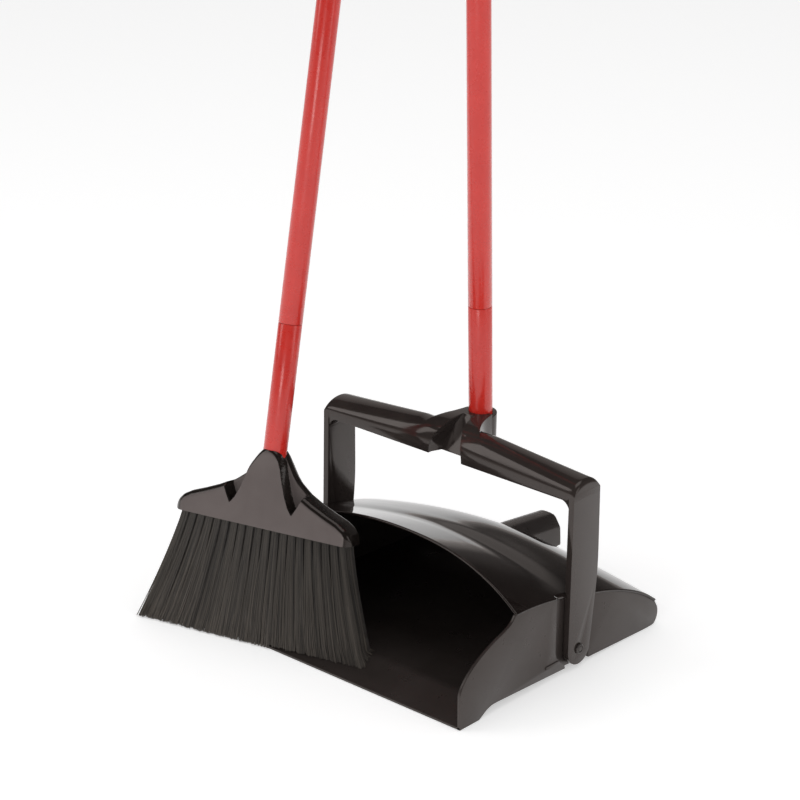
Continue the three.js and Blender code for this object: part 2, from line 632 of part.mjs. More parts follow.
const blockHalf = headHalf - headWall - fitGap;
const blockFront = headWall + fitGap;
const blockRear = headDepth - headWall - fitGap;
const rowMiddle = headDepth / 2;
const rowPlaces = Array.from(
  { length: rowCount }, (_, i) => rowMiddle + (i - (rowCount - 1) / 2) * rowPitch);
const rootHeight = 6;
const rootHalf = blockHalf - 3 - fitGap;

function makeBlock() {
  const plate = solidOf(box(
    -blockHalf, blockHalf, blockFront, blockRear, fanHeight, fanHeight + blockDepth));
  const slots = rowPlaces.map((y) => solidOf(box(
    -rootHalf - fitGap, rootHalf + fitGap, y - rootBar / 2 - fitGap,
    y + rootBar / 2 + fitGap, fanHeight - 5, fanHeight + rootHeight + fitGap)));
  return part('tuft_block', cutAll(plate, slots), headBlack);
}

const wallPlane = trayWall / 2 - halfWidth;
const broomFrame = new THREE.Matrix4()
  .makeRotationFromEuler(new THREE.Euler(...[-broomLean, 0, broomYaw].map(THREE.MathUtils.degToRad), 'ZYX'))
  .setPosition(broomPlace);

// Height of what lies under the bristles: the floor, or the pan's lip and ramp.
function groundHeight(x, y) {
  if (y < -4 * fitGap || Math.abs(x) > halfWidth + slideGap) return 0;
  const climb = THREE.MathUtils.clamp((y - innerRamp.from) / (innerRamp.to - innerRamp.from), 0, 1);
  return lerp(trayWall, innerRamp.top, climb);
}

const groundUnder = (x, y) => {
  const p = new THREE.Vector3(x, y, 0).applyMatrix4(broomFrame);
  return groundHeight(p.x, p.y);
};

// The lowest level that a bristle tip at (x, y) of the broom can reach, along the broom's own axis.
function tipLevel(x, y) {
  let z = 0;
  for (let pass = 0; pass < 4; pass++) {
    const p = new THREE.Vector3(x, y, z).applyMatrix4(broomFrame);
    z += groundHeight(p.x, p.y) + 2 * fitGap - p.z;
  }
  return z;
}

// The pan's left side wall parts the bristles: how far a place on a tuft moves sideways to clear it.
function parting(x, y, z, side) {
  const off = new THREE.Vector3(x, y, z).applyMatrix4(broomFrame).x - wallPlane;
  const room = trayWall / 2 + 2 * slideGap + 0.62 * tuftWidth;
  return side * Math.max(0, room - side * off);
}

// Which side of that wall a tuft passes on, or 0 for a tuft that stays in front of it.
function wallSide(x, y) {
  const p = new THREE.Vector3(x, y, lipFace).applyMatrix4(broomFrame);
  return p.y + rowPitch < 0 ? 0 : Math.sign(p.x - wallPlane);
}

// A row of tufts that fan out below one root bar held in the block's slot.
function makeRow(y, index) {
  const bar = solidOf(box(
    -rootHalf, rootHalf, y - rootBar / 2, y + rootBar / 2, fanHeight - 1, fanHeight + rootHeight));
  const tipY = y + (index - (rowCount - 1) / 2) * rowSpread;
  const rootDeep = rowPitch / 2 - fitGap;
  const tipDeep = rootDeep + rowSpread / 2;
  const tufts = stations(tuftCount, -1, 1).map((share) => {
    const root = share * (rootHalf - tuftWidth / 2);
    const straight = share * (fanWidth - tuftWidth) / 2;
    const middle = lerp(straight, root, 0.5);
    const side = wallSide(lerp(straight, root, lipFace / fanHeight), tipY);
    const tip = straight + parting(straight, tipY, 0, side);
    const knee = middle + parting(middle, tipY, fanHeight / 2, side);
    const corners = [-1, 1].flatMap((i) => [-1, 1].map((j) => [
      tip + i * tuftWidth / 2, tipY + j * tipDeep]));
    const grounds = corners.map(([cx, cy]) => groundUnder(cx, cy));
    const onStep = Math.max(...grounds) - Math.min(...grounds) > fitGap;
    const lowest = Math.max(...corners.map(([cx, cy]) => tipLevel(cx, cy)));
    const ring = (cx, cy, deep, z) => [[-1, -1], [1, -1], [1, 1], [-1, 1]]
      .map(([i, j]) => new THREE.Vector3(cx + i * tuftWidth / 2, cy + j * deep, z));
    const foot = ring(tip, tipY, tipDeep, lowest);
    if (!onStep) foot.forEach((p) => { p.z = tipLevel(p.x, p.y); });
    return solidOf(loft([foot, ring(knee, (tipY + y) / 2, (tipDeep + rootDeep) / 2,
      fanHeight / 2), ring(root, y, rootDeep, fanHeight - fitGap)], seenFromAbove));
  });
  return part(`bristle_row_${index + 1}`, joinAll([bar, ...tufts]), bristleGrey);
}

function makeBroomHandle() {
  const total = broomLength - tubeSeat;
  const { lower, upper, cap } = handleParts('broom', total);
  const place = (solid) => geometryOf(solid).translate(0, neckAxis, tubeSeat);
  const plug = tubeRadius - tubeWall - fitGap;
  const threadPitch = 4;
  const thread = [[0, -tipLength]];
  for (let z = -tipLength; z < -threadPitch; z += threadPitch) {
    thread.push([tipThread - 1, z], [tipThread, z + threadPitch / 2]);
  }
  thread.push([tipThread - 1, -fitGap], [plug, fitGap], [plug, 26], [0, 26]);
  return [
    part('broom_tube_lower', place(lower), redPaint),
    part('broom_tube_upper', place(upper), redPaint),
    part('broom_handle_cap', place(cap), pinBlack),
    part('screw_tip', turned(thread).translate(0, neckAxis, tubeSeat), pinBlack),
  ];
}

// ---- assembly ------------------------------------------------------------------------------------
const pan = new THREE.Group();
pan.add(makeTray(), makeHood(), makeYoke(), pinGroup(1, 'right'), pinGroup(-1, 'left'), ...makePanHandle());

const broom = new THREE.Group();
broom.add(makeHeadCap(), makeBlock(), ...rowPlaces.map(makeRow), ...makeBroomHandle());
broom.applyMatrix4(broomFrame);

// The origin is the middle of the lip's flat underside, on the floor.
const dustPanSet = new THREE.Group();
dustPanSet.add(pan, broom);
dustPanSet.position.y = -lipLand / 2;

export default dustPanSet;
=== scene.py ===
"""A lobby dust pan and broom: a hooded black pan on a swinging yoke with a red tube handle, and a flared
broom with a red handle that stands over the pan's lip. Surfaces are worked out in millimetres, with y counted
back from the pan's lip, and are placed in the frame's metres when a piece is made."""

import bmesh
import bpy
import numpy as np
from mathutils import Euler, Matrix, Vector


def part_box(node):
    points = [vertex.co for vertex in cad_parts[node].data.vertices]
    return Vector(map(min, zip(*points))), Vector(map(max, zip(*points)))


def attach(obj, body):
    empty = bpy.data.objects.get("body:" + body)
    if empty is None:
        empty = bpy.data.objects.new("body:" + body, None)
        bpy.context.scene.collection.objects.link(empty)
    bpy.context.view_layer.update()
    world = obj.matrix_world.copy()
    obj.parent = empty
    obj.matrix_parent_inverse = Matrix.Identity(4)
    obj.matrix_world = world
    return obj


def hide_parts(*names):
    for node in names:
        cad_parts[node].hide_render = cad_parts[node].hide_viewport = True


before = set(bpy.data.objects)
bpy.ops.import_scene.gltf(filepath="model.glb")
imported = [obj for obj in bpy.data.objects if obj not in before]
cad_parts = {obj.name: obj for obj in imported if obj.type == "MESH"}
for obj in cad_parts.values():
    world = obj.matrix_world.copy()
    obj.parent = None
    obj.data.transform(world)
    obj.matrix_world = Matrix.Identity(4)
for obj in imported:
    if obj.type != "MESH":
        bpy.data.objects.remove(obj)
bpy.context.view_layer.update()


# ---- studio --------------------------------------------------------------------------------------
# A white room with a pale floor. Its walls are bright near the floor and dim towards the ceiling, so glossy
# black plastic shows light flanks and dark crowns. Soft boxes stand to the left, the right, in front and above.
def new_object(name, data):
    """An object for a mesh, a light or a camera, put into the scene."""
    item = bpy.data.objects.new(name, data)
    bpy.context.scene.collection.objects.link(item)
    return item


camera = new_object("camera", bpy.data.cameras.new("camera"))
camera.location = (1.5503, -1.6439, 1.1879)
camera.rotation_euler = Euler(np.radians((67.804, 0.0, 42.04)))
camera.data.lens = 126.0
camera.data.sensor_width = 36.0
camera.data.clip_end = 50.0
bpy.context.scene.camera = camera


def soft_box(name, place, aim, size, power):
    """A rectangular area light at place that faces the point aim."""
    light = bpy.data.lights.new(name, "AREA")
    light.shape = "RECTANGLE"
    light.size, light.size_y = size
    light.energy = power
    lamp = new_object(name, light)
    lamp.location = place
    lamp.rotation_euler = (Vector(aim) - Vector(place)).to_track_quat("-Z", "Y").to_euler()


soft_box("left_soft_box", (-1.6, -1.5, 1.5), (0, 0.1, 0.25), (0.9, 1.6), 9.0)
soft_box("right_soft_box", (2.4, 0.6, 1.1), (0, 0.1, 0.2), (1.0, 1.4), 6.0)
soft_box("front_soft_box", (1.0, -2.4, 0.7), (0, 0, 0.15), (1.0, 0.7), 9.0)
soft_box("top_soft_box", (0.2, 0.6, 2.6), (0, 0.1, 0.0), (1.6, 1.6), 10.0)


def feed(tree, node, inputs):
    """Gives a node its inputs: a number or colour is set, and another node's output is linked."""
    for socket, value in inputs.items():
        if isinstance(value, bpy.types.NodeSocket):
            tree.links.new(value, node.inputs[socket])
        else:
            node.inputs[socket].default_value = value


def new_node(tree, kind, inputs=None, **settings):
    """A shader node with its settings and its inputs."""
    node = tree.nodes.new("ShaderNode" + kind)
    for setting, value in settings.items():
        setattr(node, setting, value)
    feed(tree, node, inputs or {})
    return node


def mixed(tree, factor, a, b, kind="RGBA", how="MIX"):
    """a and b put together, as colours or as numbers, by the way named in how."""
    node = new_node(tree, "Mix", {"Factor": factor, "A": a, "B": b}, data_type=kind, blend_type=how)
    return node.outputs["Result"]


def facing(tree, direction, way):
    """The cosine of the angle between a direction and way."""
    node = new_node(tree, "VectorMath", {0: direction, 1: tuple(way)}, operation="DOT_PRODUCT")
    return node.outputs["Value"]


def make_room():
    """World light. Matt surfaces are lit from all round, most of all from the sides. Mirror-like ones see a
    white horizon, one broad grey panel behind the object to the left, and a dim ceiling. The camera sees
    plain white."""
    world = bpy.data.worlds.new("studio_room")
    bpy.context.scene.world = world
    world.use_nodes = True
    tree = world.node_tree
    tree.nodes.clear()

    def level(value, stops):
        """Greys at places along value, eased from each to the next."""
        ramp = new_node(tree, "ValToRGB", {0: value})
        ramp.color_ramp.interpolation = "EASE"
        elements = ramp.color_ramp.elements
        elements[0].position, elements[1].position = stops[0][0], stops[-1][0]
        for position, grey in stops[1:-1]:
            elements.new(position).color = (grey, grey, grey, 1)
        for element, (position, grey) in zip(elements, stops):
            element.color = (grey, grey, grey, 1)
        return ramp.outputs[0]

    def glow(colour):
        """Light of one colour, or of a colour that changes with direction."""
        return new_node(tree, "Background", {"Color": colour}).outputs[0]

    def where(ray, other, light):
        """light for the rays of one kind, and the other light for the rest."""
        return new_node(tree, "MixShader", {0: rays[ray], 1: other, 2: light}).outputs[0]

    rays = new_node(tree, "LightPath").outputs
    way = new_node(tree, "TexCoord").outputs["Generated"]
    up = new_node(tree, "SeparateXYZ", {0: way}).outputs["Z"]
    horizon = level(up, [(0.0, 0.8), (0.02, 0.42), (0.09, 0.12), (0.3, 0.05), (0.85, 0.04)])
    behind_left = facing(tree, way, (-0.66, 0.62, 0.42))
    panel = level(behind_left, [(0.0, 0.0), (0.915, 0.0), (0.935, 0.34), (1.0, 0.42)])
    both = mixed(tree, 1.0, horizon, panel, how="LIGHTEN")
    mirrored = glow(mixed(tree, 1.0, both, (1.0, 0.92, 0.88, 1.0), how="MULTIPLY"))
    even = glow(level(up, [(0.0, 1.0), (0.15, 0.95), (0.5, 0.5), (1.0, 0.3)]))
    lit = where("Is Glossy Ray", even, mirrored)
    new_node(tree, "OutputWorld", {0: where("Is Camera Ray", lit, glow((1.0, 1.0, 1.0, 1.0)))})


make_room()
bpy.context.scene.view_settings.view_transform = "Standard"


def new_material(name):
    """A material with its node tree and its surface shader."""
    material = bpy.data.materials.new(name)
    material.use_nodes = True
    return material, material.node_tree, material.node_tree.nodes["Principled BSDF"]


def make_floor():
    """A wide flat pale floor just under the pan."""
    half = 30.0
    mesh = bpy.data.meshes.new("floor")
    corners = [(-half, -half, 0), (half, -half, 0), (half, half, 0), (-half, half, 0)]
    mesh.from_pydata(corners, [], [(0, 1, 2, 3)])
    floor = new_object("floor", mesh)
    floor.location.z = -0.0003
    paint, tree, surface = new_material("floor_paint")
    feed(tree, surface, {
        "Base Color": (0.97, 0.97, 0.97, 1), "Roughness": 0.75, "Specular IOR Level": 0.2,
        "Emission Color": (1.0, 1.0, 1.0, 1), "Emission Strength": 0.4,
    })
    mesh.materials.append(paint)


make_floor()


# ---- tray ----------------------------------------------------------------------------------------
# One moulding of satin black plastic: two side walls, a floor that ramps up behind a flat lip, and a low
# bowed rear wall. Each side wall has a pocket for the yoke's arm, with a hole for the pivot pin.
MM = 0.001


def node_box(node):
    """The lowest and highest corners of a CAD node, in millimetres."""
    return [np.array(corner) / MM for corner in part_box(node)]


lip_y = node_box("tray")[0][1]
half_width = node_box("hood")[1][0]
wall = 3.0
mouth_back, mouth_top = 74.0, 84.0
lip_land, lip_rise, lip_edge = 26.0, 8.4, 2.0
nose_y, nose_z = 283.0, 12.0
heel_y, heel_length = 274.0, 12.0
rear_bow = 16.0
back_wall_top = 24.2
hip = (190.0, 64.0)
back_top = (270.0, 29.0)
pivot_y, pivot_z = 161.5, 19.5


def bezier(points, count=24):
    """Points along a cubic Bezier curve: each control point weighted by its Bernstein polynomial."""
    t = np.linspace(0, 1, count)[:, None]
    a, b, c, d = (np.array(p, float) for p in points)
    return (1 - t) ** 3 * a + 3 * (1 - t) ** 2 * t * b + 3 * (1 - t) * t**2 * c + t**3 * d


def seam_line():
    """The top edge of a side wall in (y, z), from the mouth corner back: two Bezier curves of 60 steps each."""
    first = bezier([(mouth_back, mouth_top), (mouth_back + 0.28 * (hip[0] - mouth_back), mouth_top + 0.5),
                    (mouth_back + 0.66 * (hip[0] - mouth_back), hip[1] + 11), hip], 61)
    second = bezier([hip, (hip[0] + 32, hip[1] - 8), (back_top[0] - 15, back_top[1] + 12), back_top], 61)
    return np.vstack([first, second[1:]])


def side_outline():
    """The side wall's closed outline in (y, z), from the lip's top edge round to the lip's underside."""
    front = bezier([(0, 0.38 * mouth_top), (0.04 * mouth_back, 0.6 * mouth_top),
                    (0.46 * mouth_back, 0.78 * mouth_top), (0.8 * mouth_back, 0.87 * mouth_top)])
    brow = bezier([front[-1], (0.9 * mouth_back, 0.9 * mouth_top), (0.96 * mouth_back, 0.94 * mouth_top),
                   (mouth_back, mouth_top)], 8)
    nose = bezier([back_top, (nose_y - 4, 23), (nose_y, 18), (nose_y, nose_z)], 16)
    heel = bezier([(nose_y, nose_z), (nose_y, 5), (heel_y + 5, 0), (heel_y, 0)], 12)
    ramp = bezier([(lip_land + 24, lip_rise - 0.2), (lip_land + 13, lip_rise + 0.1),
                   (lip_land + 9, lip_rise - 2.6), (lip_land, 0)], 12)
    return np.vstack([[(0, 0)], front, brow[1:], seam_line()[1:], nose[1:], heel[1:],
                      [(heel_y - heel_length, 0)], ramp])


def ring_faces(rings, count, closed=True):
    """Quads between neighbouring rings of count points, joined round each ring when it is closed."""
    here = np.arange(rings * count).reshape(rings, count)
    after = np.roll(here, -1, 1)
    faces = np.stack([here[:-1], after[:-1], after[1:], here[1:]], -1)
    return faces[:, : count if closed else count - 1].reshape(-1, 4)


def from_lip(points):
    """Millimetres counted back from the lip, placed in the frame's metres."""
    return (points + (0, lip_y, 0)) * MM


def faced_mesh(name, points, faces, place):
    """A closed mesh of points put in the frame's metres by place, with every face turned outwards."""
    mesh = bpy.data.meshes.new(name)
    mesh.from_pydata(place(np.asarray(points).reshape(-1, 3)).tolist(), [], faces)
    shape = bmesh.new()
    shape.from_mesh(mesh)
    bmesh.ops.recalc_face_normals(shape, faces=shape.faces)
    shape.to_mesh(mesh)
    shape.free()
    return mesh


def solid_mesh(name, rings, place=from_lip):
    """A closed mesh through rings of points, shape (rings, points, 3), with a flat face on each end ring."""
    rings = np.asarray(rings, float)
    count, last = rings.shape[1], (len(rings) - 1) * rings.shape[1]
    caps = [list(range(count))[::-1], list(range(last, last + count))]
    return faced_mesh(name, rings, ring_faces(len(rings), count).tolist() + caps, place)


def standing_at(x, outline):
    """An outline in (y, z) placed at x."""
    return np.column_stack([np.full(len(outline), x), outline])


def slab_across(name, outline, x_from, x_to):
    """An outline in (y, z) carried straight along X."""
    outline = np.asarray(outline, float)
    return solid_mesh(name, [standing_at(x, outline) for x in (x_from, x_to)])


def settle(piece):
    """Works a piece's modifiers into its mesh."""
    mesh = bpy.data.meshes.new_from_object(piece.evaluated_get(bpy.context.evaluated_depsgraph_get()))
    piece.modifiers.clear()
    piece.data = mesh


def carved(name, base, adds=(), cuts=(), keeps=()):
    """The base mesh with meshes joined on, then others cut away, then only what lies in the kept ones."""
    piece = new_object(name, base)
    others = []
    for how, meshes in (("UNION", adds), ("DIFFERENCE", cuts), ("INTERSECT", keeps)):
        for mesh in meshes:
            others.append(new_object(f"{name}_tool_{len(others)}", mesh))
            step = piece.modifiers.new(how, "BOOLEAN")
            step.operation, step.solver, step.object = how, "EXACT", others[-1]
    settle(piece)
    for other in others:
        bpy.data.objects.remove(other)
    return piece


def only_mesh(piece):
    """Takes the mesh out of an object and removes the object."""
    mesh = piece.data
    bpy.data.objects.remove(piece)
    return mesh


def rounded(piece, radius, segments=3, angle=32):
    """Rounds every edge sharper than angle, then marks what is still sharp."""
    edge = piece.modifiers.new("rounded_edges", "BEVEL")
    edge.width, edge.segments = radius * MM, segments
    edge.limit_method, edge.angle_limit = "ANGLE", np.radians(angle)
    edge.use_clamp_overlap = True
    edge.harden_normals = False
    settle(piece)
    smooth(piece)


def smooth(piece, angle=38):
    """Smooth shading that breaks only where faces meet more sharply than angle."""
    piece.data.polygons.foreach_set("use_smooth", np.ones(len(piece.data.polygons), bool))
    piece.data.set_sharp_from_angle(angle=np.radians(angle))


def fitted(piece, body, slot, material, *nodes):
    """Gives a finished piece its material and hands it to the frame in place of the named CAD nodes."""
    piece.data.materials.clear()
    piece.data.materials.append(material)
    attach(piece, body)
    if nodes:
        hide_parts(*nodes)


def noise_value(tree, scale, detail, roughness=0.55):
    """A noise texture on Object coordinates; scale counts waves per metre."""
    place = new_node(tree, "TexCoord").outputs["Object"]
    inputs = {"Vector": place, "Scale": scale, "Detail": detail, "Roughness": roughness}
    return new_node(tree, "TexNoise", inputs).outputs["Fac"]


def remapped(tree, value, low, high, to_low, to_high):
    """value taken from the range low to high into to_low to to_high, and held there."""
    inputs = {"Value": value, "From Min": low, "From Max": high, "To Min": to_low, "To Max": to_high}
    return new_node(tree, "MapRange", inputs).outputs[0]


def bumped(tree, height, strength, depth, under=None):
    """The normal of a surface raised by height, depth in millimetres, over the bump under it."""
    inputs = {"Strength": strength, "Distance": depth * MM, "Height": height}
    if under is not None:
        inputs["Normal"] = under
    return new_node(tree, "Bump", inputs).outputs["Normal"]


def moulded_plastic(name, dark, light, gloss, grain, grain_depth, smear, satin_and_lit_side=None):
    """Black moulded plastic. Colour drifts between dark and light over a few centimetres, a fine spark-
    eroded grain roughens the surface, and faint rub marks vary the gloss between the two roughness values.
    Where satin_and_lit_side is given, only faces square to that direction have this satin finish and this
    colour, which is painted light: it makes those faces far paler than the plain polished black that the other
    faces have."""
    material, tree, surface = new_material(name)
    drift = remapped(tree, noise_value(tree, 22.0, 4.0), 0.35, 0.65, 0.0, 1.0)
    colour = mixed(tree, drift, (*dark, 1), (*light, 1))
    rub = remapped(tree, noise_value(tree, 75.0, 6.0, 0.65), 0.3, 0.7, *gloss)
    # Faces square to the given side get the satin roughness, a real finish, and the given colours, which are
    # painted light on that side; the rest are polished black.
    if satin_and_lit_side is not None:
        polished_black, polished_rub = (0.010, 0.008, 0.007, 1), 0.16
        square = facing(tree, new_node(tree, "TexCoord").outputs["Normal"], satin_and_lit_side)
        satin_and_light = remapped(tree, square, 0.90, 0.985, 0.0, 1.0)
        colour = mixed(tree, satin_and_light, polished_black, colour)
        rub = mixed(tree, satin_and_light, polished_rub, rub, "FLOAT")
    sink = bumped(tree, noise_value(tree, 30.0, 1.0), 0.5, smear)
    fine = bumped(tree, noise_value(tree, grain, 2.0), 0.6, grain_depth, sink)
    feed(tree, surface, {
        "IOR": 1.5, "Specular Tint": (1.0, 0.89, 0.84, 1),
        "Base Color": colour, "Roughness": rub, "Normal": fine,
    })
    return material


tray_plastic = moulded_plastic("tray_plastic", (0.025, 0.020, 0.018), (0.032, 0.026, 0.024), (0.26, 0.36),
                               1400.0, 0.05, 0.10)

arm_thick = 6.0
arm_out = node_box("yoke")[1][0]
arm_in = arm_out - arm_thick
pocket_x = arm_in - 0.5
arm_end_radius = 15.5
bar_y, bar_half = 168.0, 18.5
bar_under, bar_skirt = 167.0, 6.0
taper_top = pivot_z + 0.48 * (bar_under - pivot_z)


def arm_front(z):
    """The front edge of an arm: straight from beside the pivot to the crossbar's front."""
    return np.interp(z, (pivot_z, bar_under), (pivot_y - arm_end_radius, bar_y - bar_half))


def arm_rear(z):
    """The rear edge of an arm: it widens up to half its height and is upright above."""
    return np.interp(z, (pivot_z, taper_top), (pivot_y + arm_end_radius, bar_y + bar_half))


# The pocket's front edge clears an arm swung fully forward, at the height of the side wall's top.
swing = np.radians(15.0)
wall_top = 77.0
pocket_front = (pivot_y + (arm_front(wall_top) - pivot_y) * np.cos(swing)
                - (wall_top - pivot_z) * np.sin(swing) - 2.0)


def pocket_outline(grow):
    """The pocket that an arm swings in, in (y, z), made wider all round by grow."""
    top, ledge = mouth_top + 20, pivot_z - 4 - grow
    rear = [(arm_rear(z) + 1.0 + grow, z) for z in (pivot_z, taper_top, top)]
    front = pocket_front - grow
    return np.array([
        (front, top), (front, pivot_z + 6), (front + 1.2, pivot_z + 1), (front + 5, ledge),
        (pivot_y - arm_end_radius - 2, ledge - 7), (pivot_y - 7, -20), (rear[0][0] + 3, -20),
        (rear[0][0] + 0.5, pivot_z - 8), *rear,
    ])


def floor_section(x):
    """The floor and rear wall in (y, z) at a place across the pan: flat lip, ramp, floor, and the bowed
    back."""
    back = rear_bow * (1 - (x / half_width) ** 2)
    inner = [(nose_y - 5 - 2.4, back_wall_top - 1.4), (nose_y - 1.2 - wall, 17), (nose_y - wall, nose_z),
             (nose_y - wall - 1, 8), (heel_y + 1, wall + 1.6), (heel_y - 4, wall)]
    outer = [(heel_y, 0), (heel_y + 5.5, 2.5), (nose_y - 0.5, 7), (nose_y, nose_z),
             (nose_y - 1.2, 18), (nose_y - 5, back_wall_top)]
    under = [(0, 0), (lip_land, 0), (lip_land + 6, 4.6), (lip_land + 11, lip_rise - 0.4),
             (lip_land + 18, lip_rise), (heel_y - heel_length, 0)]
    top = [(heel_y - heel_length - 6, wall), (lip_land + 20, lip_rise + wall),
           (lip_land + 9, lip_rise + wall - 0.2), (lip_land - 4, wall), (0, lip_edge)]
    bowed = [(y + back, z) for y, z in outer + inner]
    return np.array(under + bowed + top)


def circle_round_pivot(radius, sides):
    """A circle in (y, z) about the pivot pin."""
    turn = np.linspace(0, 2 * np.pi, sides, endpoint=False)
    return np.column_stack([pivot_y + radius * np.cos(turn), pivot_z + radius * np.sin(turn)])


def make_tray():
    """The floor, carried across the pan, with a side wall, a pocket, a pin hole and a moulded rib on each
    side."""
    outline = side_outline()
    across = np.linspace(-half_width + 0.4, half_width - 0.4, 49)
    floor = solid_mesh("tray_floor", [standing_at(x, floor_section(x)) for x in across])
    inside, rib_front = half_width - 0.8, pocket_front - 14
    rib = [(rib_front, 13.5), (rib_front + 20, 13.5), (rib_front + 20, 16.5), (rib_front, 16.5)]
    adds, cuts = [], []
    for side in (-1, 1):
        adds.append(slab_across("side_wall", outline, side * (half_width - wall), side * half_width))
        backing = slab_across("backing", pocket_outline(wall), side * (pocket_x - wall), side * inside)
        trim = slab_across("trim", outline, -half_width - 5, half_width + 5)
        adds.append(only_mesh(carved("pocket_backing", backing, keeps=[trim])))
        adds.append(slab_across("rib", rib, side * inside, side * (half_width + 1)))
        cuts.append(slab_across("pocket", pocket_outline(0), side * pocket_x, side * (half_width + 5)))
        cuts.append(slab_across("pin_hole", circle_round_pivot(3.3, 24), side * (pocket_x - wall - 2),
                                side * half_width))
    tray = carved("tray_shell", floor, adds, cuts)
    rounded(tray, 0.6, 2)
    fitted(tray, "pan", "tray_plastic", tray_plastic, "tray")


make_tray()


# ---- hood ----------------------------------------------------------------------------------------
# A glossy black sheet moulded in a double curve. Its front rim arches over the mouth, its sides sit on the
# side walls' top edges, and its back comes down to the rear nose. It is notched where the arms pass.
hood_thick = 2.6
hood_gap = 0.3
hood_crown = (91.0, 115.0)
edge_end = (nose_y - 6.5, back_wall_top)


def smooth_line(points, count):
    """Evenly spaced points on a curve through the given ones, with each tangent along its neighbours'
    chord."""
    points = np.array(points, float)
    padded = np.vstack([2 * points[0] - points[1], points, 2 * points[-1] - points[-2]])
    t = np.linspace(0, 1, 40, endpoint=False)[:, None]
    spans = []
    for a, b, c, d in zip(padded, padded[1:], padded[2:], padded[3:]):
        spans.append(0.5 * (2 * b + (c - a) * t + (2 * a - 5 * b + 4 * c - d) * t**2
                            + (3 * b - a - 3 * c + d) * t**3))
    fine = np.vstack([*spans, points[-1:]])
    run = np.concatenate([[0], np.cumsum(np.linalg.norm(np.diff(fine, axis=0), axis=1))])
    even = np.linspace(0, run[-1], count)
    return np.column_stack([np.interp(even, run, fine[:, k]) for k in range(fine.shape[1])])


def hood_surface(across, along):
    """The hood's underside. Along the sheet, an edge point on the seam and a crown point on the middle line
    run side by side; across it, a point rises from the first to the second by 1 - |across| to a power."""
    seam = np.vstack([seam_line(), [edge_end]])
    steps = np.concatenate([np.linspace(0, 20, len(seam) - 1), [21]]) / 21
    edge = np.column_stack([np.interp(along, steps, seam[:, k]) for k in (0, 1)])
    reach = nose_y + rear_bow
    falls = [(0, 0), (0.19, 0.15), (0.28, 0.22), (0.4, 0.28), (0.62, 0.43), (0.8, 0.67), (0.93, 0.91),
             (0.97, 1.0)]
    middle = [(hood_crown[0] + a * (reach - hood_crown[0]), hood_crown[1] - f * (hood_crown[1] - edge_end[1]))
              for a, f in falls]
    crown_line = smooth_line(middle, 200)
    crown = np.column_stack([np.interp(along, np.linspace(0, 1, 200), crown_line[:, k]) for k in (0, 1)])
    power = np.interp(along * 21, (0, 6), (2.3, 1.75))[:, None]
    lift = 1 - np.abs(across)[None, :] ** power
    y = edge[:, :1] + (crown[:, :1] - edge[:, :1]) * lift
    z = edge[:, 1:] + (crown[:, 1:] - edge[:, 1:]) * lift + hood_gap
    notched = (edge[:, :1] > pocket_front) & (edge[:, :1] < arm_rear(edge[:, 1:]) + 1.0)
    limit = np.where(notched, pocket_x, half_width)
    x = np.clip(across[None, :] * half_width, -limit, limit)
    return np.stack([x, y, z], -1)


def sheet_mesh(name, under, thickness):
    """A sheet of even thickness over a grid of points, with all four edges rounded to half the thickness.
    The edge's section is half a circle from the upper face round to the lower one."""
    along = np.gradient(under, axis=0)
    across = np.gradient(under, axis=1)
    normal = np.cross(across, along)
    normal /= np.linalg.norm(normal, axis=-1, keepdims=True)
    normal *= np.sign(normal[:, :, 2:].mean())
    over = under + normal * thickness
    rows, columns = under.shape[:2]
    rim_rows = np.concatenate([np.zeros(columns - 1), np.arange(rows - 1), np.full(columns - 1, rows - 1),
                               np.arange(rows - 1, 0, -1)]).astype(int)
    rim_columns = np.concatenate([np.arange(columns - 1), np.full(rows - 1, columns - 1),
                                  np.arange(columns - 1, 0, -1), np.zeros(rows - 1)]).astype(int)
    low, high = under[rim_rows, rim_columns], over[rim_rows, rim_columns]
    run = np.roll(low, -1, 0) - np.roll(low, 1, 0)
    out = np.cross(run, high - low)
    out /= np.linalg.norm(out, axis=1, keepdims=True)
    out *= np.sign((out * (low - low.mean(0))).sum(1).mean())
    turns = np.linspace(0, np.pi, 7)[1:-1]
    arcs = [(low + high) / 2 + (high - low) / 2 * np.cos(t) + out * thickness / 2 * np.sin(t) for t in turns]
    points = np.vstack([over.reshape(-1, 3), under.reshape(-1, 3), *arcs])
    cells = ring_faces(rows, columns, closed=False)
    size, ring = rows * columns, len(low)
    top_rim = rim_rows * columns + rim_columns
    loops = [top_rim] + [2 * size + k * ring + np.arange(ring) for k in range(len(turns))] + [size + top_rim]
    strips = [np.stack([a, np.roll(a, -1), np.roll(b, -1), b], -1) for a, b in zip(loops, loops[1:])]
    faces = np.vstack([cells, cells[:, ::-1] + size, *strips])
    return faced_mesh(name, points, faces.tolist(), from_lip)


hood_plastic = moulded_plastic("hood_plastic", (0.010, 0.0072, 0.0065), (0.014, 0.0105, 0.0095), (0.05, 0.09),
                               1100.0, 0.008, 0.2)


def make_hood():
    """The sheet over a grid that is closer towards the pan's sides, where it curves down most."""
    across = np.sin(np.linspace(-1, 1, 151) * np.pi / 2)
    under = hood_surface(across, np.linspace(0, 1, 151))
    hood = new_object("hood_shell", sheet_mesh("hood_shell", under, hood_thick))
    smooth(hood, 60)
    fitted(hood, "pan", "hood_plastic", hood_plastic, "hood")


make_hood()


# ---- rear grip -----------------------------------------------------------------------------------
# A hollow carrying grip moulded over the back of the hood, flat-topped with chamfered shoulders, open
# behind.
grip_half = 17.0
grip_end = node_box("hood")[1][1] - lip_y
grip_drop = 30.0
grip_wall = 3.0


def grip_top(y):
    """Height of the grip's ridge: it falls gently to the rear."""
    return np.interp(y, (grip_end - 90, grip_end), (73.0, 62.0))


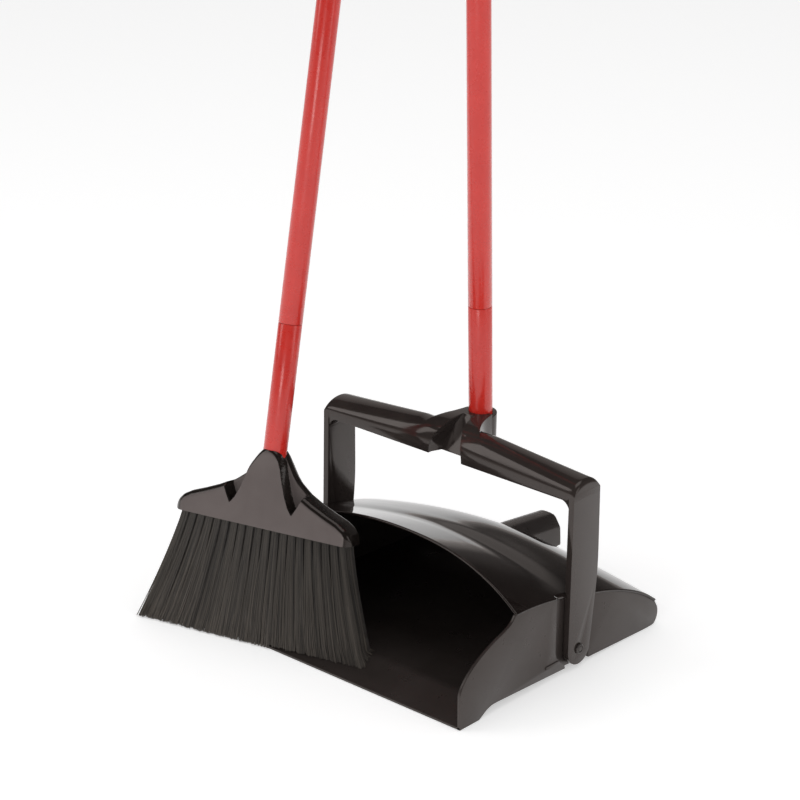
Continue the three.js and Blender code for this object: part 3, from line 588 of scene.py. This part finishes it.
def grip_section(y, inset, bottom):
    """The grip's outline in (x, z) at y, seen from behind: crowned top, sloping shoulders, upright sides."""
    half = np.array([(0, 0), (4, 0.15), (8, 0.9), (10.5, 2.6), (15.6, 10.5), (16.4, 12.5), (grip_half, 26.0)])
    half = half * (1 - inset / grip_half) + (0, inset)
    height = np.maximum(grip_top(y) - half[:, 1], bottom + np.linspace(0.8, 0.1, len(half)))
    right = np.column_stack([half[:, 0], height])
    right = np.vstack([right, [(half[-1, 0], bottom)]])
    left = right[:0:-1] * (-1, 1)
    ring = np.vstack([right, left])
    return np.column_stack([ring[:, 0], np.full(len(ring), y), ring[:, 1]])


def make_grip():
    """The grip stands on the hood: its lower edge follows the middle of the hood, then runs out level."""
    middle = hood_surface(np.zeros(1), np.linspace(0, 1, 400))[:, 0]
    floor = grip_top(grip_end) - grip_drop
    stations = np.linspace(grip_end - 88, grip_end, 60)
    base = np.maximum(np.interp(stations, middle[:, 1], middle[:, 2], right=0.0) + 0.2, floor)
    clear = grip_top(stations) - base
    solid, hollow = clear > 2, clear > 9
    outer = [grip_section(y, 0, low) for y, low in zip(stations[solid], base[solid])]
    inner = [grip_section(y, grip_wall, low + grip_wall) for y, low in zip(stations[hollow], base[hollow])]
    inner.append(inner[-1] + (0, 4, 0))
    grip = carved("rear_grip", solid_mesh("grip_outer", outer), (), [solid_mesh("grip_hollow", inner)])
    rounded(grip, 0.9, 3, 24)
    fitted(grip, "pan", "hood_plastic", grip_plastic)


grip_plastic = moulded_plastic("grip_plastic", (0.024, 0.020, 0.019), (0.032, 0.027, 0.025), (0.24, 0.34),
                               1300.0, 0.04, 0.1)
make_grip()


# ---- yoke ----------------------------------------------------------------------------------------
# One glossy black moulding: two flat arms, a crowned crossbar that is hollow underneath, and a fairing that
# sweeps back from the crossbar to the handle's socket, with an arched recess in its front.
end_top, crown_top = 184.0, 194.0
fairing_half = 42.0
socket_y = 200.0
socket_radius = 15.2
mouth_z = 195.0
bore_radius = 11.4
handle_lean = np.radians(1.3)
shoulder = 5.0


def bar_section(x, inset=0.0, drop=0.0):
    """The crossbar's outline in (y, z) at x: straight skirts under a half ellipse. Its crown falls in
    straight slopes to the ends, and the last few millimetres of each end are rounded over."""
    rise = min(1.0, (arm_out - abs(x)) / (arm_out - fairing_half))
    over = max(0.0, abs(x) - (arm_out - shoulder))
    ease = shoulder - np.sqrt(max(0.0, shoulder**2 - over**2))
    top = end_top + (crown_top - end_top) * rise - inset
    spring = bar_under + bar_skirt
    turn = np.linspace(np.pi, 0, 41)
    half = bar_half - inset - ease * np.sin(turn)
    y = bar_y + half * np.cos(turn)
    z = spring + (top - spring - ease) * np.sin(turn)
    front, rear = (bar_y - bar_half + inset, bar_under - drop), (bar_y + bar_half - inset, bar_under - drop)
    return standing_at(x, np.vstack([front, np.column_stack([y, z]), rear]))


def arm_outline():
    """An arm's outline in (y, z): round about the pivot, tapered, and up into the crossbar's skirt."""
    turn = np.linspace(np.pi, 2 * np.pi, 33)
    foot = np.column_stack([pivot_y + arm_end_radius * np.cos(turn), pivot_z + arm_end_radius * np.sin(turn)])
    top = bar_under + bar_skirt
    waist = bezier([(arm_rear(taper_top - 26), taper_top - 26), (arm_rear(taper_top - 8), taper_top - 8),
                    (arm_rear(taper_top), taper_top + 4), (arm_rear(taper_top), taper_top + 24)], 12)
    return np.vstack([foot, waist, [(bar_y + bar_half, top), (bar_y - bar_half, top)]])


def fairing_rings():
    """The fairing between its two creases. Each ring spans from the left crease to the right one with a
    slight crown, and drops inside the crossbar; the creases close in from the crossbar's front to the
    socket."""
    crease = smooth_line([(47, 150.2, 169), (44.5, 151.3, 176), (40, 154, 184), (34, 159, 191),
                          (28, 166, 196), (22.5, 175, 198.5), (18, 186, 199.2), (15, 199, 199.4)], 40)
    share = np.linspace(-1, 1, 17)
    rings = []
    for x, y, z in crease:
        low = np.interp(y, (150, 186, 199), (bar_under + 1.0, bar_under + 4, bar_under + 8))
        top = np.column_stack([share * x, np.full(17, y), z + 0.8 * (1 - share**2)])
        side = [(x, y, 0.5 * (z + low)), (x, y, low), (-x, y, low), (-x, y, 0.5 * (z + low))]
        rings.append(np.vstack([top, side]))
    return rings


def recess_rings():
    """The arched recess in the front: its half-width closes with height as a pointed arch, and its back
    slopes away from the front up to the socket's mouth, so the socket's round front stands in it."""
    rings = []
    for up in np.linspace(0, 1, 18):
        z = bar_under - 3 + up * 40
        half = 19.5 * (1 - np.clip((z - 168) / 42, 0, 1) ** 1.9) + 0.3
        back = bar_y - bar_half + 14 + 0.62 * (z - bar_under)
        front = bar_y - bar_half - 8
        step = bar_y - bar_half + 4
        rings.append([(-half, front, z), (half, front, z), (half, step, z), (0.8 * half, back, z),
                      (-0.8 * half, back, z), (-half, step, z)])
    return rings


def round_bar(radius_low, radius_high, z_low, z_high, centre, tilt=0.0, sides=64):
    """Two rings about a line along Z; tilt is how much the upper ring rises per millimetre towards the
    rear."""
    turn = np.linspace(0, 2 * np.pi, sides, endpoint=False)
    rings = []
    for radius, z, slope in ((radius_low, z_low, 0.0), (radius_high, z_high, tilt)):
        y = radius * np.sin(turn)
        rings.append(np.column_stack([centre[0] + radius * np.cos(turn), centre[1] + y, z + slope * y]))
    return np.array(rings)


def leaning(rings):
    """Turns rings about the socket's mouth so that they follow the handle's lean."""
    rings = np.array(rings, float)
    y, z = rings[..., 1] - socket_y, rings[..., 2] - mouth_z
    rings[..., 1] = socket_y + y * np.cos(handle_lean) - z * np.sin(handle_lean)
    rings[..., 2] = mouth_z + y * np.sin(handle_lean) + z * np.cos(handle_lean)
    return rings


yoke_plastic = moulded_plastic("yoke_plastic", (0.025, 0.0195, 0.018), (0.032, 0.0255, 0.023), (0.08, 0.14),
                               1200.0, 0.015, 0.1)


def make_yoke():
    """The crossbar with its arms, gussets, fairing and socket joined on, and its hollows and holes cut
    away."""
    ease = arm_out - shoulder * (1 - np.cos(np.linspace(0, np.pi / 2, 7)))
    half_bar = np.concatenate([ease, np.linspace(arm_out - shoulder - 4, fairing_half, 16)])
    stations = np.concatenate([-half_bar, half_bar[::-1]])
    bar = solid_mesh("crossbar", [bar_section(x) for x in stations])
    gusset_radius = 11
    turn = np.linspace(0, np.pi / 2, 10)[::-1]
    corner = np.column_stack([arm_in - gusset_radius + gusset_radius * np.sin(turn),
                              bar_under - gusset_radius + gusset_radius * np.cos(turn)])
    gusset = np.vstack([(arm_in + 1, bar_under + 1), (arm_in + 1, bar_under - gusset_radius), corner,
                        (arm_in - gusset_radius, bar_under + 1)])
    adds, cuts = [], []
    for side in (-1, 1):
        adds.append(slab_across("arm", arm_outline(), side * arm_in, side * arm_out))
        rings = [np.column_stack([side * gusset[:, 0], np.full(len(gusset), y), gusset[:, 1]])
                 for y in (bar_y - bar_half + 0.7, bar_y + bar_half - 0.7)]
        adds.append(solid_mesh("gusset", rings))
        hollow = [bar_section(side * x, 3.0, 5.0) for x in (fairing_half + 6, arm_in - 14)]
        cuts.append(solid_mesh("crossbar_hollow", hollow))
        cuts.append(slab_across("pin_hole", circle_round_pivot(3.5, 32), side * (arm_in - 2),
                                side * (arm_out + 2)))
    adds.append(solid_mesh("fairing", fairing_rings()))
    centre, low_radius = (0, socket_y), socket_radius - 0.6
    front = solid_mesh("socket_front", round_bar(low_radius, socket_radius, 140.0, mouth_z + 30, centre))
    cuts.append(only_mesh(carved("recess", solid_mesh("recess", recess_rings()), cuts=[front])))
    socket = round_bar(low_radius, socket_radius, 150.0, mouth_z + 1.5, centre, 0.11)
    adds.append(solid_mesh("socket", socket))
    bore = round_bar(bore_radius, bore_radius, mouth_z - 44, mouth_z + 30, centre)
    cuts.append(solid_mesh("socket_bore", leaning(bore)))
    yoke = carved("yoke_frame", bar, adds, cuts)
    rounded(yoke, 0.8, 3, 33)
    fitted(yoke, "yoke", "hood_plastic", yoke_plastic, "yoke")


make_yoke()


# ---- pivot pins and clips ------------------------------------------------------------------------
# Black push-in rivets. Each has a low round head with a ring groove on the arm's outer face, and a round
# clip that holds it inside the pan.
pin_plastic = moulded_plastic("pin_plastic", (0.022, 0.019, 0.018), (0.032, 0.028, 0.026), (0.28, 0.4),
                              1500.0, 0.03, 0.05)


def turned_points(profile, base, axis, sides):
    """Points, shape (profile, sides, 3), of a profile of (radius, distance) pairs turned once round the
    line from base along axis."""
    axis = np.array(axis, float) / np.linalg.norm(axis)
    helper = np.array((0.0, 0.0, 1.0)) if abs(axis[2]) < 0.9 else np.array((1.0, 0.0, 0.0))
    u = np.cross(axis, helper)
    u /= np.linalg.norm(u)
    v = np.cross(axis, u)
    turn = np.linspace(0, 2 * np.pi, sides, endpoint=False)
    radial = np.cos(turn)[:, None] * u + np.sin(turn)[:, None] * v
    profile = np.array(profile, float)
    return np.array(base) + profile[:, None, 1:] * axis + profile[:, None, :1] * radial


def turned_mesh(name, profile, base, axis, sides=64, place=from_lip):
    """A turned profile that is closed by a flat face at each end."""
    return solid_mesh(name, turned_points(profile, base, axis, sides), place)


def closed_ring_mesh(name, profile, base, axis, sides=48, place=from_lip):
    """A closed profile turned round an axis that it doesn't touch."""
    points = turned_points(profile, base, axis, sides).swapaxes(0, 1)
    faces = ring_faces(sides + 1, len(profile)) % (sides * len(profile))
    return faced_mesh(name, points, faces.tolist(), place)


def make_pins():
    """A pin through each arm and wall, and a clip round its inner end, both as long as their CAD nodes."""
    for side, label in ((1, "right"), (-1, "left")):
        low, high = node_box(f"pivot_pin_{label}")
        tip, out = (low[0], high[0]) if side > 0 else (high[0], low[0])
        length, head = abs(out - tip), 1.8
        profile = [(2.2, 0), (2.95, 0.8), (2.95, length - head + 0.05), (4.9, length - head + 0.1),
                   (5.0, length - 0.9), (4.6, length - 0.25), (4.0, length), (3.4, length - 0.15),
                   (3.1, length - 0.7), (2.7, length - 0.7), (2.4, length - 0.25), (1.2, length - 0.1),
                   (0.05, length - 0.1)]
        pin = turned_mesh("pin", profile, (tip, pivot_y, pivot_z), (side, 0, 0), 48)
        low, high = node_box(f"pin_clip_{label}")
        ring = [(3.1, low[0]), (3.1, high[0]), (5.8, high[0]), (6.5, high[0] - 0.6), (6.5, low[0] + 0.6),
                (5.8, low[0])]
        clip = closed_ring_mesh("clip", ring, (0, pivot_y, pivot_z), (1, 0, 0))
        for name, mesh, node in (("pivot_rivet", pin, "pivot_pin"), ("clip_ring", clip, "pin_clip")):
            piece = new_object(f"{name}_{label}", mesh)
            smooth(piece, 30)
            fitted(piece, "pan", "small_plastic", pin_plastic, f"{node}_{label}")


make_pins()


# ---- tube handles --------------------------------------------------------------------------------
# Thin steel tube, 22 mm across, dip-coated in glossy red. Each handle is two lengths joined on a swaged
# spigot, with a moulded cap that has a hanging hole.
tube_radius = 11.1
neck_radius = tube_radius - 1.3
spigot_length = 38.3
tube_back = 12.5

# The broom's own frame: width to its right, back away from its front face, and up along its handle.
broom_foot = np.array((-103.15, -10.05 + lip_y, 1.5))
lean, yaw = np.radians(-15.0), np.radians(13.7)
turn_lean = np.array([(1, 0, 0), (0, np.cos(lean), -np.sin(lean)), (0, np.sin(lean), np.cos(lean))])
turn_yaw = np.array([(np.cos(yaw), -np.sin(yaw), 0), (np.sin(yaw), np.cos(yaw), 0), (0, 0, 1)])
broom_turn = turn_yaw @ turn_lean


def on_broom(points):
    """Points given as (width, back, up) in the broom's own frame, placed in the frame's metres."""
    return (np.asarray(points) @ broom_turn.T + broom_foot) * MM


def tube_line(node):
    """Where a CAD tube starts, which way it runs and how long it is: the box of a round bar is its length
    times the axis plus a disc's shadow, so its height gives the length and the height of its lower end."""
    if node.startswith("pan"):
        axis = np.array((0.0, -np.sin(handle_lean), np.cos(handle_lean)))
        through = np.array((0.0, socket_y + lip_y, mouth_z))
    else:
        axis = broom_turn @ np.array((0.0, 0.0, 1.0))
        through = broom_turn @ np.array((0.0, tube_back, 0.0)) + broom_foot
    low, high = node_box(node)
    radius = neck_radius if node.endswith("upper") else tube_radius
    shadow = np.sqrt(1 - axis[2] ** 2)
    start = (low[2] + radius * shadow - through[2]) / axis[2]
    end = (high[2] - tube_radius * shadow - through[2]) / axis[2]
    return through + axis * start, axis, end - start


def in_metres(points):
    """Points already in the frame, from millimetres to metres."""
    return np.asarray(points) * MM


def red_coating():
    """Glossy red dip coating: two close reds drift into each other, with a slow orange-peel ripple and fine
    rub marks that dull the gloss in small patches."""
    material, tree, surface = new_material("red_coating")
    drift = remapped(tree, noise_value(tree, 35.0, 4.0), 0.3, 0.7, 0.0, 1.0)
    feed(tree, surface, {
        "Coat Weight": 0.35, "Coat Roughness": 0.12, "IOR": 1.5,
        "Base Color": mixed(tree, drift, (0.54, 0.020, 0.013, 1), (0.59, 0.026, 0.017, 1)),
        "Roughness": remapped(tree, noise_value(tree, 120.0, 5.0), 0.3, 0.7, 0.22, 0.36),
        "Normal": bumped(tree, noise_value(tree, 380.0, 2.0), 0.35, 0.05),
    })
    return material


red_paint = red_coating()


def make_tube(name, node, body, spigot):
    """One length of tube. An upper length has a narrower spigot below its shoulder; every end is turned
    in."""
    low, axis, length = tube_line(node)
    r, wall_in, neck = tube_radius, tube_radius - 1.0, neck_radius
    if spigot:
        profile = [(neck - 1, 0), (neck - 0.3, 0), (neck, 0.6), (neck, spigot), (r - 0.25, spigot + 0.05),
                   (r, spigot + 0.4), (r, length - 0.6), (r - 0.5, length), (wall_in, length),
                   (wall_in, spigot + 6), (neck - 1, spigot + 4)]
    else:
        profile = [(wall_in, 0), (r - 0.5, 0), (r, 0.6), (r, length - 0.5), (r - 0.25, length),
                   (wall_in, length)]
    tube = new_object(name, closed_ring_mesh(name, profile, low, axis, 72, in_metres))
    smooth(tube, 40)
    fitted(tube, body, "red_paint", red_paint, node)


make_tube("pan_tube_lower_coated", "pan_tube_lower", "yoke", 0)
make_tube("pan_tube_upper_coated", "pan_tube_upper", "yoke", spigot_length)
make_tube("broom_tube_lower_coated", "broom_tube_lower", "broom", 0)
make_tube("broom_tube_upper_coated", "broom_tube_upper", "broom", spigot_length)


# ---- handle caps ---------------------------------------------------------------------------------
# Soft black plastic caps pressed over the tube ends, with finger rings low on the sleeve, a domed top
# flattened front and back, and a hole to hang them by.
cap_plastic = moulded_plastic("cap_plastic", (0.026, 0.023, 0.022), (0.036, 0.032, 0.030), (0.4, 0.52),
                              900.0, 0.08, 0.05)


def make_cap(name, node, tube_node, body):
    """A turned sleeve and dome over the tube's end, with its bore, hanging hole and two flats cut away."""
    low, axis, length = tube_line(tube_node)
    side = np.array((1.0, 0.0, 0.0)) if body == "yoke" else broom_turn @ np.array((1.0, 0.0, 0.0))
    back = np.cross(axis, side)
    sleeve, knob, r, bore = 22.0, 30.0, tube_radius + 1.9, tube_radius + 0.25
    base = low + axis * (length - sleeve)
    turn = np.linspace(0, np.pi / 2, 12)
    dome = np.column_stack([(r - 1) * np.cos(turn) + 0.02, sleeve + 12 + (knob - 12) * np.sin(turn)])
    grooves = [(r - 0.4, 0), (r, 1.0), (r, 4), (r - 0.5, 4.8), (r, 5.6), (r, 9), (r - 0.5, 9.8), (r, 10.6),
               (r, 26)]
    outer = turned_mesh("cap", [(tube_radius + 0.3, 0), *grooves, *dome], base, axis, 72, in_metres)
    hole = base + axis * (sleeve + 16.5) - back * 20
    tools = [turned_mesh("cap_bore", [(bore, -2), (bore, sleeve + 0.2)], base, axis, 72, in_metres),
             turned_mesh("cap_hole", [(6.0, 0), (6.0, 40)], hole, back, 40, in_metres)]
    corner = [(-30, 6.5), (30, 6.5), (30, 30), (-30, 30)]
    for way in (-1, 1):
        rings = [[base + axis * up + side * a + back * b * way for a, b in corner]
                 for up in (sleeve + 7, sleeve + 40)]
        tools.append(solid_mesh("cap_flat", rings, in_metres))
    cap = carved(name, outer, (), tools)
    rounded(cap, 0.7, 3, 40)
    fitted(cap, body, "small_plastic", cap_plastic, node)


make_cap("pan_end_cap", "pan_handle_cap", "pan_tube_upper", "yoke")
make_cap("broom_end_cap", "broom_handle_cap", "broom_tube_upper", "broom")


# ---- socket screw --------------------------------------------------------------------------------
# A short zinc-plated pan-head screw through the back of the yoke's socket into the tube.
def zinc_plating():
    """Dull zinc plate with a fine mottle in its gloss."""
    material, tree, surface = new_material("zinc_plating")
    mottle = remapped(tree, noise_value(tree, 900.0, 3.0), 0.3, 0.7, 0.28, 0.42)
    feed(tree, surface, {"Base Color": (0.62, 0.62, 0.6, 1), "Metallic": 1.0, "Roughness": mottle})
    return material


def make_screw():
    """The screw's profile from its point to its head with a round recess, as long as its CAD node."""
    low, high = node_box("socket_screw")
    middle = (low + high) / 2
    length = high[1] - low[1]
    profile = [(0.05, 0), (1.5, 0.8), (1.8, 2), (1.8, length - 2.2), (3.5, length - 2.2), (3.6, length - 1.4),
               (3.0, length - 0.4), (1.4, length), (1.0, length - 0.9), (0.05, length - 0.9)]
    base = (middle[0], low[1], middle[2])
    screw = new_object("socket_fixing", turned_mesh("screw", profile, base, (0, 1, 0), 32, in_metres))
    smooth(screw, 30)
    fitted(screw, "yoke", "zinc_plate", zinc_plating(), "socket_screw")


make_screw()


# ---- broom head ----------------------------------------------------------------------------------
# A satin black moulded cap over the bristle block: a flat front with a raised tongue up to the handle's
# socket, dished scoops on both sides of the tongue, and shoulders rounded over to the back.
fan_height = 110.0
head_half, head_end = 89.0, 94.0
tongue_middle = -2.0
head_depth = 28.0
neck_top = 186.0


def head_height(u):
    """The head's top edge above the tips at a distance u from the middle: a dome round the socket, hollow
    shoulders, and round ends."""
    places = (0, 4, 8, 11.5, 14.5, 18, 22, 27, 38, 50, 64, 78, 86, 90.5, 93, 94)
    heights = (neck_top, 185.2, 182.6, 178.6, 174.2, 168.6, 162.2, 156.2, 147.6, 141.4, 135.4, 130, 125.4,
               121, 116, 112)
    return np.interp(np.abs(u), places, heights)


def softened(values, rounds=3):
    """A row of values with each replaced by its neighbours' mean, a few times over, ends kept."""
    values = values.copy()
    for _ in range(rounds):
        values[1:-1] = (values[:-2] + 2 * values[1:-1] + values[2:]) / 4
    return values


def step_up(value, width):
    """0 below zero, 1 above width, and a smooth S between."""
    t = np.clip(value / width, 0, 1)
    return t * t * (3 - 2 * t)


def scoop_depth(u, w):
    """How deep the scoops beside the tongue are at (u, w). A scoop starts at the tongue's flank, which
    spreads towards the bottom, and ends at a slanted outer edge; above the shoulders it runs out of the
    side."""
    side = np.abs(u - tongue_middle)
    flank = np.interp(w, (126, 134, 145, 158, 168, 178), (34.0, 28.0, 23.0, 18.6, 15.6, 12.0))
    outer = np.interp(w, (126, 129, 136, 146, 152, 156), (33.0, 34.0, 38.0, 42.5, 52.0, 90.0))
    return 13.0 * step_up(side - flank, 1.2) * step_up(outer - side, 3.4) * step_up(w - 125, 4)


def head_skin():
    """Rings round the head at each place along its width. A ring goes up the front face, over the rounded
    top, down the back and across the bottom; the front is pushed in by the scoops."""
    u = np.sin(np.linspace(-np.pi / 2, np.pi / 2, 561)) * head_end
    top = softened(head_height(u), 4)
    base = fan_height + 1.2 * np.clip((np.abs(u) - 88.5) / 5.5, 0, 1) ** 2
    depth_end = 1 - 0.5 * np.clip((np.abs(u) - 84) / 10.0, 0, 1) ** 2.2
    arc = np.linspace(0, np.pi / 2, 9)[1:]
    rings = []
    for place, height, low, end in zip(u, top, base, depth_end):
        r = max(0.3, min(6.5, 0.45 * (height - low)))
        front = head_depth / 2 * (1 - end)
        back = head_depth - front - np.interp(height, (130, 175), (0.0, 3.0))
        face = np.column_stack([np.full(70, front), np.linspace(low, height - r, 70)])
        brow = np.column_stack([front + r * (1 - np.cos(arc)), height - r + r * np.sin(arc)])
        nape = np.column_stack([back - r * (1 - np.cos(arc[::-1])), height - r + r * np.sin(arc[::-1])])
        rear = np.column_stack([np.full(40, back), np.linspace(height - r, low, 40)])
        ring = np.vstack([face, brow, nape, rear])
        dish = scoop_depth(np.full(len(ring), place), ring[:, 1])
        near = np.clip(1 - (ring[:, 0] - front) / 16.0, 0, 1)
        ring[:, 0] = np.minimum(ring[:, 0] + dish * near, back - 0.5)
        rings.append(standing_at(place, ring))
    return np.array(rings)


# These greys colour only the head's front face: painted light that lifts it far above the polished black of the
# scoops, top and edges; the satin roughness there is a real finish.
head_plastic = moulded_plastic("head_plastic", (0.098, 0.081, 0.078), (0.118, 0.099, 0.095), (0.33, 0.44),
                               1300.0, 0.07, 0.12, broom_turn @ (0.0, -1.0, 0.0))


def make_head():
    """The head's skin with the space for the bristle block and the bore for the tube cut out of it."""
    cavity_half, inner = head_half - 3.0, head_depth - 3.0
    corners = [(-cavity_half, 3.0), (cavity_half, 3.0), (cavity_half, inner), (-cavity_half, inner)]
    cavity = [np.column_stack([corners, np.full(4, z)]) for z in (fan_height - 5, fan_height + 10.3)]
    bore = round_bar(bore_radius, bore_radius, 147.7, neck_top + 8, (0, tube_back))
    head = carved("broom_head_cap", solid_mesh("head", head_skin(), on_broom), (),
                  [solid_mesh("cavity", cavity, on_broom), solid_mesh("bore", bore, on_broom)])
    rounded(head, 0.5, 2, 50)
    fitted(head, "broom", "head_plastic", head_plastic, "broom_head")


make_head()


# ---- bristles ------------------------------------------------------------------------------------
# Dark grey synthetic bristles set in rows of tufts in a plastic block. They fan out to the tips, which
# stand on the floor and on the pan's lip, and the pan's left wall parts the ones behind it.
row_count, tuft_count = 4, 20
fan_half, root_half = 123.0, 82.4
row_pitch, row_spread = 5.0, 0.6
strand_radius, first_seed = 0.42, 40


def bristle_grey():
    """Dark synthetic bristle: each strand carries its own shade in an attribute, and is darker towards its root
    and paler towards its tip."""
    material, tree, surface = new_material("bristle_grey")
    shade = new_node(tree, "Attribute", attribute_name="shade").outputs["Fac"]
    colour = new_node(tree, "ValToRGB", {0: shade})
    colour.color_ramp.elements[0].color = (0.018, 0.0145, 0.012, 1)
    colour.color_ramp.elements[1].color = (0.105, 0.087, 0.070, 1)
    gloss = remapped(tree, noise_value(tree, 600.0, 3.0), 0.3, 0.7, 0.42, 0.6)
    feed(tree, surface, {"IOR": 1.45, "Base Color": colour.outputs[0], "Roughness": gloss})
    return material


def ground_under(points):
    """Height of the floor, or of the pan's lip and ramp, under points in the frame's millimetres."""
    y = points[..., 1] - lip_y
    climb = np.clip((y - (lip_land - 4)) / 13.0, 0, 1)
    on_pan = (np.abs(points[..., 0]) < half_width + 0.5) & (y > -1.5)
    return np.where(on_pan, wall + climb * (lip_rise - 0.2), 0.0)


def strand_paths(row, rng):
    """Middle lines of one row's strands, shape (strands, steps, 3) in the broom's frame, and their shades.
    A strand leaves its tuft's root, spreads with the fan and a little by itself, and bows slightly."""
    per_tuft, steps = 104, 8
    share = np.repeat(np.linspace(-1, 1, tuft_count), per_tuft)
    count = len(share)
    angle, reach = rng.uniform(0, 2 * np.pi, count), np.sqrt(rng.uniform(0, 1, count))
    from_middle = row - (row_count - 1) / 2
    row_back = head_depth / 2 + from_middle * row_pitch
    tip_back = row_back + from_middle * row_spread
    root = np.column_stack([share * root_half + 3.2 * reach * np.cos(angle),
                            row_back + 2.0 * reach * np.sin(angle)])
    tip = np.column_stack([share * (fan_half - 6) + 6.2 * reach * np.cos(angle) + rng.normal(0, 0.9, count),
                           tip_back + 2.4 * reach * np.sin(angle) + rng.normal(0, 0.7, count)])
    tip[:, 0] = np.clip(tip[:, 0], -fan_half, fan_half)
    tip[:, 1] = np.maximum(tip[:, 1], 0.4)
    t = np.linspace(0, 1, steps)[None, :, None]
    bow = rng.normal(0, 1.2, (count, 1, 2)) * np.sin(np.pi * t)
    plan = root[:, None] + (tip - root)[:, None] * (0.35 * t + 0.65 * t**1.35) + bow * t
    plan[..., 1] = np.maximum(plan[..., 1], 0.4)
    height = (fan_height + 6) * (1 - t[..., 0]) * np.ones((count, 1))
    height[:, -1] = rng.uniform(-0.4, 1.2, count)
    path = np.concatenate([plan, height[..., None]], -1)
    shade = np.clip(rng.normal(0.45, 0.2, count), 0.02, 1)
    return path, shade


def cut_to_ground(path):
    """Raises each strand's end in the broom's own frame until it clears what is under it, in four steps
    because the broom leans, and keeps the rest of the strand above its end."""
    for _ in range(4):
        world = path[:, -1] @ broom_turn.T + broom_foot
        path[:, -1, 2] += np.maximum(ground_under(world) + 0.5 - world[:, 2], 0)
    low = path[:, -1:, 2]
    path[:, :-1, 2] = np.maximum(path[:, :-1, 2], low + 0.5)
    return path


def parted(path):
    """Strands that would cross the pan's left side wall pass on one side of it or the other."""
    world = path @ broom_turn.T + broom_foot
    off = world[..., 0] + half_width - wall / 2
    y, z = world[..., 1] - lip_y, world[..., 2]
    wall_front = np.interp(z, (0, 32, 43, 55, 64), (0, 0, 6, 17, 34))
    behind = ((y > wall_front - 3.0) & (z < 72)).any(1)
    side = np.where(np.median(off[:, 3:], axis=1) < 0, -1.0, 1.0)
    room = 2.6 + 0.25 * np.abs(np.sin(np.arange(len(path)) * 2.4))
    short = np.maximum(0, room[:, None] - side[:, None] * off) * behind[:, None]
    short *= np.clip((86 - z) / 14, 0, 1)
    path[..., 0] += side[:, None] * short
    return path


def strand_mesh(path, shade):
    """Three-sided strands round the paths, thinner at the tips, each closed at both ends. Every point
    carries its strand's shade, lifted towards the tip."""
    count, steps = path.shape[:2]
    turn = np.arange(3) * 2 * np.pi / 3
    ring = np.column_stack([np.cos(turn), np.sin(turn), np.zeros(3)])
    thick = strand_radius * np.linspace(1.0, 0.72, steps)
    points = path[:, :, None] + thick[None, :, None, None] * ring[None, None]
    here = np.arange(count * steps * 3).reshape(count, steps, 3)
    after = np.roll(here, -1, 2)
    quads = np.stack([here[:, :-1], after[:, :-1], after[:, 1:], here[:, 1:]], -1).reshape(-1, 4)
    faces = quads.tolist() + here[:, -1, ::-1].tolist() + here[:, 0].tolist()
    mesh = faced_mesh("strands", points, faces, on_broom)
    tint = shade[:, None] * np.linspace(0.55, 1.15, steps)[None] + 0.06 * np.linspace(0, 1, steps) ** 2
    layer = mesh.attributes.new("shade", "FLOAT", "POINT")
    layer.data.foreach_set("value", np.repeat(np.clip(tint, 0, 1), 3).astype(np.float32))
    return mesh


def make_bristles():
    """Four rows of strands, each drawn from its own seed, parted by the pan's wall and then cut to the
    ground."""
    grey = bristle_grey()
    for row in range(row_count):
        path, shade = strand_paths(row, np.random.default_rng(first_seed + row))
        strands = new_object(f"strands_{row + 1}", strand_mesh(cut_to_ground(parted(path)), shade))
        smooth(strands, 80)
        fitted(strands, "broom", "bristle", grey, f"bristle_row_{row + 1}")


make_bristles()


# ---- bristle block and screw tip -----------------------------------------------------------------
# The black plastic block that holds the tufts, up inside the head, and the plastic tip that the broom's
# tube screws in by. Both are almost hidden.
for hidden_node in ("tuft_block", "screw_tip"):
    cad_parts[hidden_node].data.materials.clear()
    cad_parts[hidden_node].data.materials.append(pin_plastic)
